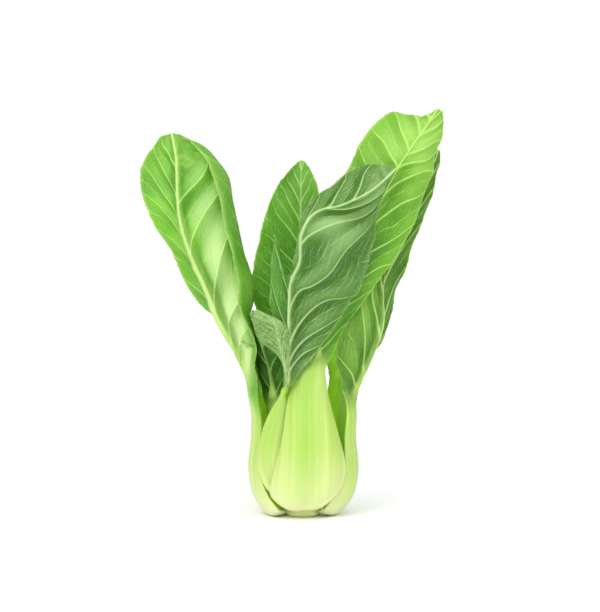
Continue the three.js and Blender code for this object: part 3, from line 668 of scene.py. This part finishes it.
def leaf_grids(leaf, seed):
    """The outer and inner points of a whole leaf, its UVs and its values per point.
    A value that is a pair differs from the outer to the inner face."""
    rng = np.random.default_rng(seed)
    surface = LeafSurface(leaf)
    start = leaf["blade_from"]
    rows, columns = leaf["grid"]
    v_line = np.linspace(-1, 1, columns)
    far = np.abs(v_line)
    v_line = np.sign(v_line) * (0.35 * far + 0.65 * far**1.25)
    t, v, mm_t, mm_v = surface.grid(rows, v_line)
    share = np.clip((t - start) / (surface.last - start), 0, 1)
    tissue = smooth_step(start - 0.2, start + 0.8, t)

    # Small teeth and nicks pull the margin in.
    nick = 0.5 + 0.5 * np.sin(t * 31 + 2.2 * np.sin(t * 7.3) + seed)
    nick = nick * (0.6 + 0.4 * np.sin(t * 5.1 + seed * 2))
    pull = NICK_DEPTH * nick * tissue / np.maximum(mm_v, 4)
    v = v * (1 - pull * np.abs(v) ** 6)

    base = surface.point(t, v)
    normal = surface.normal(t, v)
    u = np.abs(v)
    stalk = np.minimum(1, surface.stalk_share(t))
    across = np.clip(v / stalk, -1, 1)
    on_rib = np.clip(1 - np.abs(v / stalk), 0, 1)
    widths = run_lengths(base, 1)
    side_mm = widths - widths[:, [columns // 2]]
    up_mm = np.broadcast_to(run_lengths(base[:, [columns // 2]], 0), side_mm.shape)

    veins = leaf["veins"] or chosen_veins(leaf, surface, rng)
    vein_count, vein_apart, nearest = vein_field(veins, t, v, mm_t, mm_v)
    vein_wide = VEIN_WIDTH * (1 - 0.65 * u) * smooth_step(start - 0.3, start + 0.6, t)
    vein = bell(nearest, 1.1) * (1 - 0.5 * u)

    # The blade swells between the veins, sags at large, and its margin ruffles a little.
    rib_clear = smooth_step(0, 3.2, np.abs(side_mm) - stalk * mm_v * 0.8)
    pillow = (1 - np.cos(2 * np.pi * vein_count)) / 2 * np.clip(vein_apart / PILLOW_SPAN, 0, 1.2)
    pucker = (0.45 * (1 - bell(nearest, 2.2)) + 0.8 * pillow) * (1 - 0.7 * u**2) * leaf["pucker"]
    cells = np.sin(up_mm * 1.15 + 1.4 * np.sin(side_mm * 0.8))
    cells = cells * np.sin(side_mm * 1.25 + np.sin(up_mm * 0.6))
    ruffle = 0.5 * np.sin(t * 5.6 + seed) * u**5 * np.clip(5 * (1 - share), 0, 1)
    sag = soft_noise(rng, 1.3 * t, 2.6 * v, 6) * np.clip(6 * (1 - share), 0, 1) * leaf["sag"]
    lift = ((pucker + CELL_RELIEF * cells + sag) * rib_clear + ruffle) * tissue**2

    # The stalk is thick in the middle and runs on as the midrib, on the back or face of the blade.
    behind = smooth_step(start - 1, start - 0.1, t)
    thinning = smooth_step(start - 1, start + 0.8, t)
    taper = smooth_step(start, leaf["rib_to"], t)
    rib = MIDRIB_START + (MIDRIB_END - MIDRIB_START) * taper
    middle = leaf["thickness"] * (1 - thinning) + rib * thinning
    edge = STALK_EDGE * (1 - thinning)
    root = 0.6 + 0.4 * np.minimum(1, t / 1.5)
    thick = root * (edge + (middle - edge) * (1 - across**2) ** (1 + 0.6 * behind))
    half_blade = BLADE_THICKNESS / 2 * (1 - 0.45 * u**4)
    fibres = np.sin(across * 17 + 0.6 * np.sin(across * 5 + seed)) * (1 - 0.4 * across**2)
    on_stalk = (1 - smooth_step(start - 0.6, start + 0.6, t)) * smooth_step(0.6, 2.2, t)
    relief = VEIN_RELIEF * vein + 0.12 * on_rib**0.5 * taper
    outer_offset = -behind * half_blade
    inner_offset = (1 - behind) * thick + behind * half_blade - VEIN_GROOVE * vein * tissue
    outer_lift = lift
    if leaf["rib_side"] < 0:
        outer_offset = outer_offset - behind * thick - relief * tissue
        outer_lift = lift * (1 - np.clip(on_rib * 2, 0, 1))
    else:
        outer_offset = outer_offset - (relief + 0.5 * on_rib**0.7) * tissue
        inner_offset = inner_offset + behind * thick
    outer = base + normal * (outer_offset + outer_lift - FIBRE_RELIEF * fibres * on_stalk)[..., None]
    inner = base + normal * (inner_offset + lift)[..., None]
    # The two faces never cross, and none dips below the ground.
    gap = ((inner - outer) * normal).sum(-1)
    inner = inner + normal * np.maximum(0, LEAST_GAP - gap)[..., None]
    outer[..., 2] = np.maximum(outer[..., 2], 0)
    inner[..., 2] = np.maximum(inner[..., 2], 0.02)

    # Where the green starts on the stalk, and how far the midrib stays pale.
    on_midrib = smooth_step(0, 0.5, on_rib) * tissue
    above = smooth_step(start + 0.2, start + 2.6, t)
    lower = leaf["green_down"] * np.clip(v * 1.4 - 0.2, 0, 1)
    green = smooth_step(start - 0.2 - lower, start + 0.8 - lower, t)
    pale = np.maximum(1 - green, on_midrib * (1 - above))
    rib_line = bell(side_mm, leaf["rib_line"] * (1 - 0.6 * share)) * tissue
    rib_line = np.maximum(rib_line, 0.3 * on_midrib) * above
    # Painted light and shade: each space between two veins is painted lighter above its lower vein and
    # darker under its upper one, as if lit from above.
    painted_light = leaf["painted_bands"] * np.cos(2 * np.pi * (vein_count - 0.28)) * (1 - u**4) * rib_clear
    # Broad painted shadows and painted highlights from the leaf's list: below zero a painted shadow, above
    # it a painted highlight.
    for v_mid, v_wide, height_mid, height_wide, strength in leaf["painted_lights"]:
        painted_light += strength * bell(v - v_mid, v_wide) * bell(share - height_mid, height_wide)
    values = {
        "pale": pale,
        "vein_count": vein_count,
        "vein_apart": vein_apart,
        "vein_wide": (vein_wide, 0.75 * vein_wide),
        "rise": np.clip(t / start, 0, 1),
        "inside": (0 * t, 0 * t + 1),
        "margin": smooth_step(0.93, 1, u) * tissue,
        "rib": (rib_line, 0.8 * rib_line),
        "height": share,
        "across": v,
        "swell": (1 - bell(nearest, 2.6)) * tissue,
        "painted_light": painted_light * tissue,
        "core": bell(across + 0.1, 0.3) * (1 - tissue) * smooth_step(0.12, 0.6, t / start),
        "wide": mm_v,
    }
    uv = np.stack([side_mm / 100 + 0.5, up_mm / 200], -1)
    return outer, inner, uv, values


def lobe_grids(leaf):
    """The lobe at the foot of a blade, as the two faces of a thin sheet."""
    lobe = leaf["lobe"]
    surface = LeafSurface(lobe | {"inner": leaf["inner"]})
    rows, columns = lobe["grid"]
    t, v, mm_t, mm_v = surface.grid(rows, np.linspace(-1, 1, columns))
    base = surface.point(t, v)
    normal = surface.normal(t, v)
    u = np.abs(v)
    vein_count, vein_apart, nearest = vein_field(lobe["veins"], t, v, mm_t, mm_v)
    side_mm = v * mm_v
    station_mm = 12
    up_mm = t * station_mm
    vein = bell(nearest, 0.7)
    cells = np.sin(up_mm * 1.3 + 1.4 * np.sin(side_mm * 0.9))
    cells = cells * np.sin(side_mm * 1.5 + np.sin(up_mm * 0.7))
    lift = -0.3 * (1 - bell(nearest, 2)) + 0.1 * cells
    lift = lift * smooth_step(1, 0.75, u) * smooth_step(0, 0.5, t)
    half_blade = BLADE_THICKNESS / 2 * (1 - 0.3 * u**4)
    outer = base + normal * (lift - half_blade - 0.2 * vein)[..., None]
    inner = base + normal * (lift + half_blade)[..., None]
    values = dict.fromkeys(("pale", "margin", "painted_light", "core"), 0 * t)
    values |= {
        "vein_count": vein_count,
        "vein_apart": vein_apart,
        "vein_wide": 0.22 * (1 - 0.4 * u),
        "rise": 0 * t + 1,
        "inside": (0 * t, 0 * t + 1),
        "rib": 0.4 * bell(side_mm, 0.45),
        "height": 0 * t + LOBE_HEIGHT,
        "across": v,
        "swell": 1 - vein,
        "wide": mm_v,
    }
    uv = np.stack([side_mm / 100 + 1.5, up_mm / 200], -1)
    return outer, inner, uv, values


def linear(red, green, blue):
    """A colour of a screen, 0 to 255, as Blender's linear one."""
    def one(value):
        value = value / 255
        return value / 12.92 if value <= 0.04045 else ((value + 0.055) / 1.055) ** 2.4

    return (one(red), one(green), one(blue), 1)


BLACK = (0, 0, 0, 1)
WHITE = (1, 1, 1, 1)


class Nodes:
    """Short ways to add shader nodes and join them."""

    def __init__(self, name):
        self.material = bpy.data.materials.new(name)
        self.material.use_nodes = True
        self.tree = self.material.node_tree
        self.shader = self.tree.nodes["Principled BSDF"]

    def give(self, socket, value):
        if isinstance(value, bpy.types.NodeSocket):
            self.tree.links.new(value, socket)
        else:
            socket.default_value = value

    def node(self, kind, inputs, **settings):
        """A new shader node with its inputs, by name or number, and its settings."""
        node = self.tree.nodes.new("ShaderNode" + kind)
        for key, value in settings.items():
            setattr(node, key, value)
        for key, value in inputs.items():
            self.give(node.inputs[key], value)
        return node

    def with_inputs(self, **inputs):
        """Gives the shader its inputs: words joined by _ stand for the socket's name."""
        for key, value in inputs.items():
            self.give(self.shader.inputs[key.replace("_", " ")], value)
        return self.material

    def attribute(self, name):
        return self.node("Attribute", {}, attribute_name=name).outputs["Fac"]

    def math(self, operation, first, second=0.0, clamp=False):
        return self.node("Math", {0: first, 1: second}, operation=operation, use_clamp=clamp).outputs[0]

    def plus(self, first, second):
        return self.math("ADD", first, second)

    def minus(self, first, second):
        return self.math("SUBTRACT", first, second)

    def times(self, first, *others, clamp=False):
        for other in others:
            first = self.math("MULTIPLY", first, other, clamp)
        return first

    def off_whole(self, value):
        """How far a value is from the nearest whole number."""
        return self.math("ABSOLUTE", self.minus(value, self.math("ROUND", value)))

    def bell(self, value):
        """1 at 0, and nearly nothing from 2 on."""
        return self.math("EXPONENT", self.times(value, value, -1.0))

    def mix(self, factor, first, second):
        inputs = {"Factor": factor, "A": first, "B": second}
        return self.node("Mix", inputs, data_type="RGBA").outputs["Result"]

    def ramp(self, factor, *stops):
        node = self.node("ValToRGB", {"Fac": factor})
        elements = node.color_ramp.elements
        while len(elements) < len(stops):
            elements.new(0.5)
        for element, (position, color) in zip(elements, stops):
            element.position = position
            element.color = color
        return node.outputs["Color"]

    def rising(self, value, low, high, color=WHITE):
        return self.ramp(value, (low, BLACK), (high, color))

    def falling(self, value, low, high, color=WHITE):
        return self.ramp(value, (low, color), (high, BLACK))

    def place(self, kind="Object", scale=(1, 1, 1)):
        source = self.node("TexCoord", {}).outputs[kind]
        return self.node("Mapping", {"Vector": source, "Scale": scale}).outputs["Vector"]

    def noise(self, vector, scale, detail=2.0, roughness=0.5, output="Fac"):
        inputs = {"Vector": vector, "Scale": scale, "Detail": detail, "Roughness": roughness}
        return self.node("TexNoise", inputs).outputs[output]

    def warped(self, vector, scale, amount):
        """The vector with its places shifted a little by noise."""
        noise = self.noise(vector, scale, 3, output="Color")
        centred = self.node("VectorMath", {0: noise, 1: (0.5, 0.5, 0.5)}, operation="SUBTRACT")
        inputs = {0: centred.outputs["Vector"], 1: (amount, amount, amount), 2: vector}
        return self.node("VectorMath", inputs, operation="MULTIPLY_ADD").outputs["Vector"]

    def cells(self, vector, scale):
        inputs = {"Vector": vector, "Scale": scale}
        return self.node("TexVoronoi", inputs, feature="DISTANCE_TO_EDGE").outputs["Distance"]

    def bump(self, height, strength, distance):
        inputs = {"Height": height, "Strength": strength, "Distance": distance}
        return self.node("Bump", inputs).outputs["Normal"]


def blade_color(n, look, mottle):
    """The green of a blade before its veins: it turns with place, swelling, face and painted light and
    shade.
    """
    solid = n.place()
    across, height, painted_light = (n.attribute(key) for key in ("across", "height", "painted_light"))
    color = n.mix(n.rising(n.noise(solid, 45, 3, 0.6), 0.3, 0.7), look["light"], look["dark"])
    color = n.mix(n.times(mottle, 0.3), color, look["light"])
    color = n.mix(n.times(n.attribute("swell"), look["swell"]), color, look["dark"])
    if "low" in look:
        color = n.mix(n.times(n.falling(height, 0, 0.55), 0.8), color, look["low"])
    # Painted shade and painted highlights: below zero the blade is painted towards its shade colour, above
    # zero towards its highlight colour, or its vein colour where it has none.
    color = n.mix(n.times(painted_light, -1.0, clamp=True), color, look.get("painted_shade", look["dark"]))
    color = n.mix(n.times(painted_light, 1.0, clamp=True), color, look.get("painted_highlight", look["vein"]))
    if "flap" in look:
        left = n.rising(n.times(across, -1.0), 0.1, 0.45)
        foot = n.falling(height, 0.3, 0.45)
        color = n.mix(n.times(left, foot, 0.75), color, look["flap"])
    if "lobe" in look:
        meshes = n.falling(n.cells(n.warped(solid, 300, 0.002), 420), 0, 0.12)
        lobe = n.mix(n.times(meshes, 0.3), look["lobe"], look["vein"])
        color = n.mix(n.math("LESS_THAN", height, LOBE_HEIGHT / 2), color, lobe)
    return n.mix(n.times(n.attribute("inside"), look["inside_share"]), color, look["inside"])


def stalk_color(n, look, fibre):
    """The pale stalk, with long streaks: cream at its foot and greener towards the blade."""
    stops = [(0.0, (236, 234, 208)), (0.15, (230, 230, 186)), (0.35, (202, 212, 142))]
    stops += [(0.6, (170, 198, 92)), (1.0, (160, 192, 86))]
    color = n.ramp(n.attribute("rise"), *((place, linear(*rgb)) for place, rgb in stops))
    streak = n.noise(n.place("UV", (20, 0.8, 1)), 1.6, 3, 0.55)
    color = n.mix(n.rising(streak, 0.4, 0.85, (0.45, 0.45, 0.45, 1)), color, linear(224, 240, 170))
    color = n.mix(n.times(fibre, 0.08), color, linear(160, 214, 84))
    color = n.mix(n.times(n.attribute("core"), 0.45), color, linear(148, 196, 78))
    # The inner face of the stalk: its own pale green, painted brighter and more saturated as if lit through
    # from behind, a painted glow.
    return n.mix(n.times(n.attribute("inside"), 0.85), color, look["stalk_inside"])


def leaf_material(name, look):
    """Blade and stalk tissue in one material: the values on the mesh say which is where."""
    n = Nodes(name)
    look = LOOK_DEFAULTS | look
    look |= {key: linear(*value) for key, value in look.items() if isinstance(value, tuple)}
    pale, count, apart = (n.attribute(key) for key in ("pale", "vein_count", "vein_apart"))
    swell, across = n.attribute("swell"), n.attribute("across")
    wide = n.attribute("vein_wide")
    flat = n.warped(n.place("UV", (1, 2, 1)), 14, 0.018)

    vein = n.bell(n.math("DIVIDE", n.times(n.off_whole(count), apart), n.math("MAXIMUM", wide, 0.05)))
    vein = n.times(vein, n.times(wide, 4.0, clamp=True))

    # Fainter veins halfway between the side veins, their branches and the net that joins them.
    drift = n.times(n.minus(n.noise(flat, 9, 1), 0.5), 0.4)
    halfway = n.off_whole(n.plus(n.plus(count, 0.5), drift))
    halfway = n.bell(n.math("DIVIDE", n.times(halfway, apart), 0.28))
    halfway = n.times(halfway, n.rising(n.noise(flat, 9, 2), 0.35, 0.6), swell)
    net = n.node("CombineXYZ", {0: n.times(count, 2.6), 1: n.times(across, 7.0), 2: n.attribute("inside")})
    net_line = n.falling(n.cells(n.warped(net.outputs["Vector"], 0.8, 0.3), 1.0), 0, 0.06)
    slant = n.plus(n.times(n.math("ABSOLUTE", across), BRANCHES), n.times(count, -1.7))
    slant = n.plus(slant, n.times(n.noise(flat, 11, 3), 2.2))
    branch = n.times(n.off_whole(slant), n.attribute("wide"))
    branch = n.bell(n.math("DIVIDE", branch, BRANCHES * 0.3))
    branch = n.times(branch, n.rising(n.noise(flat, 15, 2), 0.35, 0.75), swell)
    fine_line = n.falling(n.cells(flat, 85), 0, 0.1)

    mottle = n.noise(flat, 42, 4, 0.65)
    blade = blade_color(n, look, mottle)
    lines = [
        (net_line, look["net"]),
        (halfway, 0.4),
        (branch, look["branch"]),
        (fine_line, 0.12),
        (vein, look["vein_share"]),
        # A pale rim along the margin, painted as a highlight on the edge of the blade.
        (n.attribute("margin"), look["margin"]),
        (n.attribute("rib"), 0.9),
    ]
    for line, strength in lines:
        blade = n.mix(n.times(line, strength), blade, look["vein"])

    fibre = n.noise(n.place("UV", (260, 2.5, 1)), 1.4, 2, 0.5)
    rough = n.plus(n.times(mottle, 0.22), look["rough"])
    rough = n.plus(n.times(rough, n.minus(1.0, pale)), n.times(pale, STALK_ROUGHNESS))
    height = n.plus(n.times(net_line, 0.5), n.times(fine_line, 0.3))
    height = n.plus(height, n.times(n.math("MAXIMUM", vein, n.times(branch, 0.5)), 1.6))
    height = n.plus(height, n.times(n.noise(flat, 260, 2), 0.35))
    height = n.times(height, n.math("SUBTRACT", 1.0, pale, clamp=True))
    height = n.plus(height, n.times(fibre, 0.15, pale))
    return n.with_inputs(
        Base_Color=n.mix(pale, blade, stalk_color(n, look, fibre)),
        Roughness=rough,
        Normal=n.bump(height, 0.5, 0.0005),
        Subsurface_Weight=0.4,
        Subsurface_Radius=(0.75, 1.0, 0.2),
        Subsurface_Scale=0.003,
        Specular_IOR_Level=look["gloss"],
    )


def stem_material():
    n = Nodes("cut_stem")
    solid = n.place()
    broad = n.noise(solid, 160, 4, 0.6)
    color = n.mix(broad, linear(252, 255, 190), linear(240, 248, 156))
    fibres = n.falling(n.cells(solid, 900), 0, 0.12, (0.35, 0.35, 0.35, 1))
    return n.with_inputs(
        Base_Color=n.mix(fibres, color, linear(214, 214, 130)),
        Roughness=0.6,
        Normal=n.bump(broad, 0.3, 0.0005),
        Subsurface_Weight=0.15,
        Subsurface_Scale=0.002,
    )


def add_object(name, data):
    piece = bpy.data.objects.new(name, data)
    bpy.context.scene.collection.objects.link(piece)
    return piece


def join_meshes(name, first, second):
    """One mesh of two, with their values and UVs."""
    one = add_object(name, first)
    other = add_object(name + "_lobe", second)
    bpy.ops.object.select_all(action="DESELECT")
    one.select_set(True)
    other.select_set(True)
    bpy.context.view_layer.objects.active = one
    bpy.ops.object.join()
    return one


# Colours as a screen shows them, and shares of 1. "low" greens the foot of a blade, "flap" its left
# side below the notch, and "lobe" its basal lobe. The shade and highlight colours are those of the
# painted shadows and painted highlights; without a highlight colour a blade lightens to its vein
# colour.
LOOK_DEFAULTS = dict(
    swell=0.35, inside_share=0.5, net=0.06, branch=0.4, vein_share=0.85, margin=0.35, rough=0.36, gloss=0.4
)
LOOKS = {
    "leaf_left": dict(
        dark=(62, 132, 2), light=(124, 192, 34), painted_shade=(30, 90, 0), painted_highlight=(196, 228, 152),
        inside=(82, 138, 30), vein=(194, 224, 132), stalk_inside=(214, 255, 40),
        rough=0.28, gloss=0.45, vein_share=0.7, branch=0.22,
    ),
    "leaf_right": dict(
        dark=(42, 92, 0), light=(76, 132, 10), painted_highlight=(160, 208, 84),
        inside=(140, 210, 20), vein=(184, 214, 128), stalk_inside=(208, 255, 60),
        rough=0.42, gloss=0.25, branch=0.25,
    ),
    "leaf_front": dict(
        dark=(76, 138, 4), light=(110, 162, 42), painted_shade=(36, 108, 0), painted_highlight=(162, 208, 98),
        inside=(140, 210, 20), vein=(184, 224, 112), stalk_inside=(200, 250, 40),
        low=(78, 158, 0), swell=0.2, gloss=0.3, branch=0.25,
    ),
    "leaf_front_left": dict(
        dark=(42, 98, 2), light=(68, 118, 6), painted_shade=(14, 56, 0), painted_highlight=(160, 198, 126),
        inside=(60, 120, 16), vein=(186, 214, 148), stalk_inside=(180, 240, 30),
        lobe=(74, 122, 16), flap=(70, 138, 14),
        net=0.03, rough=0.3, gloss=0.32, swell=0.5, vein_share=0.75, margin=0.2, branch=0.5,
    ),
    "leaf_back_right": dict(
        dark=(110, 176, 16), light=(160, 216, 50),
        inside=(160, 226, 16), vein=(196, 236, 110), stalk_inside=(206, 255, 64), branch=0.3,
    ),
    "leaf_back_left": dict(
        dark=(84, 148, 20), light=(136, 196, 60),
        inside=(130, 200, 10), vein=(186, 226, 110), stalk_inside=(200, 255, 30), branch=0.3,
    ),
    "leaf_inner_back": dict(
        dark=(60, 124, 6), light=(134, 198, 50), painted_shade=(30, 96, 0),
        inside=(64, 134, 10), vein=(178, 214, 130), stalk_inside=(120, 190, 24),
        inside_share=0.6, gloss=0.3,
    ),
    "leaf_inner_left": dict(
        dark=(18, 60, 0), light=(48, 100, 6),
        inside=(36, 90, 0), vein=(126, 172, 84), stalk_inside=(120, 190, 24),
        net=0.05, gloss=0.15, branch=0.3,
    ),
    "leaf_heart_front": dict(
        dark=(104, 176, 30), light=(150, 208, 70),
        inside=(126, 200, 30), vein=(196, 232, 130), stalk_inside=(160, 222, 60), net=0.2,
    ),
    "leaf_heart_back": dict(
        dark=(112, 184, 36), light=(158, 214, 80),
        inside=(134, 206, 40), vein=(204, 236, 138), stalk_inside=(168, 226, 70), net=0.2,
    ),
}


def build_leaves():
    for seed, name in enumerate(LEAVES, 1):
        leaf = LEAF_DEFAULTS | LEAVES[name]
        flip = leaf["inner"] < 0
        mesh = fine_mesh(name, *leaf_grids(leaf, seed), flip)
        if "lobe" in leaf:
            lobe = fine_mesh(name + "_lobe", *lobe_grids(leaf), flip)
            piece = join_meshes(name, mesh, lobe)
        else:
            piece = add_object(name, mesh)
        piece.data.materials.append(leaf_material(name + "_tissue", LOOKS[name]))
        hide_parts(name + "_stalk", name + "_blade")
        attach(piece, "root")


def build_stem():
    """The cut stump, with a slightly uneven side."""
    profile = [(0, 0), (4, 0), (8.2, 0), (8.9, 0.2), (9.25, 0.7), (9.4, 1.6), (9.1, 2.8), (8.6, 4)]
    profile += [(7.8, 5.2), (7, 6.4), (5.9, 7.5), (4.8, 8.6), (3.9, 9.8), (3, 11), (1.6, 13.4), (0.2, 13.9)]
    turns = 96
    ring = np.linspace(0, 2 * np.pi, turns, endpoint=False)
    points, faces = [], []
    for radius, height in profile:
        uneven = 1 - 0.03 * (1 + np.sin(3 * ring + 1) * 0.5 + 0.5 * np.sin(7 * ring)) * (height > 0.1)
        for angle, scale in zip(ring, uneven):
            forward = STEM_FRONT_STRETCH if math.sin(angle) < 0 else 1
            x = radius * scale * math.cos(angle)
            y = radius * scale * math.sin(angle) * forward
            points.append((x, y, height))
    for level in range(len(profile) - 1):
        for i in range(turns):
            a = level * turns + i
            b = level * turns + (i + 1) % turns
            faces.append((a, b, b + turns, a + turns))
    faces.append(tuple(range(len(points) - turns, len(points))))
    mesh = bpy.data.meshes.new("stem")
    mesh.from_pydata([Vector(p) * MM for p in points], [], faces)
    mesh.validate()
    mesh.polygons.foreach_set("use_smooth", np.ones(len(mesh.polygons), dtype=bool))
    mesh.materials.append(stem_material())
    piece = add_object("stem", mesh)
    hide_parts("stem_base")
    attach(piece, "root")


def turned(direction):
    """The turn that makes a light or a camera look along the direction."""
    return Vector(direction).to_track_quat("-Z", "Y").to_euler()


def area_light(name, place, aim, size, power):
    data = bpy.data.lights.new(name, "AREA")
    data.shape = "RECTANGLE"
    data.size, data.size_y = size
    data.energy = power
    light = add_object(name, data)
    light.location = place
    light.rotation_euler = turned(Vector(aim) - Vector(place))


def build_stage():
    half = 40.0
    corners = [(-half, -half, 0), (half, -half, 0), (half, half, 0), (-half, half, 0)]
    mesh = bpy.data.meshes.new("floor")
    mesh.from_pydata(corners, [], [(0, 1, 2, 3)])
    pale_floor = Nodes("pale_floor").with_inputs(Base_Color=(0.99, 0.99, 0.99, 1), Roughness=0.55)
    mesh.materials.append(pale_floor)
    floor = add_object("floor", mesh)
    # A little below the cut face, so that the two never share a plane.
    floor.location = (0, 0, -0.2 * MM)

    world = bpy.data.worlds.new("studio")
    world.use_nodes = True
    bpy.context.scene.world = world
    background = world.node_tree.nodes["Background"]
    background.inputs["Color"].default_value = WHITE
    background.inputs["Strength"].default_value = 0.5

    sun = bpy.data.lights.new("overhead", "SUN")
    sun.energy = 2.25
    sun.angle = math.radians(85)
    add_object("overhead", sun).rotation_euler = turned((0.1, 0.42, -1))
    middle = (0, 0, 0.1)
    area_light("softbox", (-0.55, -0.95, 0.75), middle, (0.45, 0.6), 5.5)
    area_light("fill", (0.8, -0.3, 0.5), middle, (0.5, 0.6), 2.0)


def build_camera():
    elevation = math.radians(5)
    distance = 1.9
    aim = Vector((-0.0014, 0, 0.1005))
    back = Vector((0, -math.cos(elevation), math.sin(elevation)))
    data = bpy.data.cameras.new("camera")
    camera = add_object("camera", data)
    camera.location = aim + back * distance
    camera.rotation_euler = turned(-back)
    # The photo's frame is 612 points high, each 0.48 mm at the object.
    half_height = 612 / 2 * 0.48 * MM
    data.sensor_width = 36
    data.lens = data.sensor_width / 2 * distance / half_height
    data.clip_end = 200
    bpy.context.scene.camera = camera


build_leaves()
build_stem()
build_stage()
build_camera()
bpy.context.scene.view_settings.view_transform = "Standard"
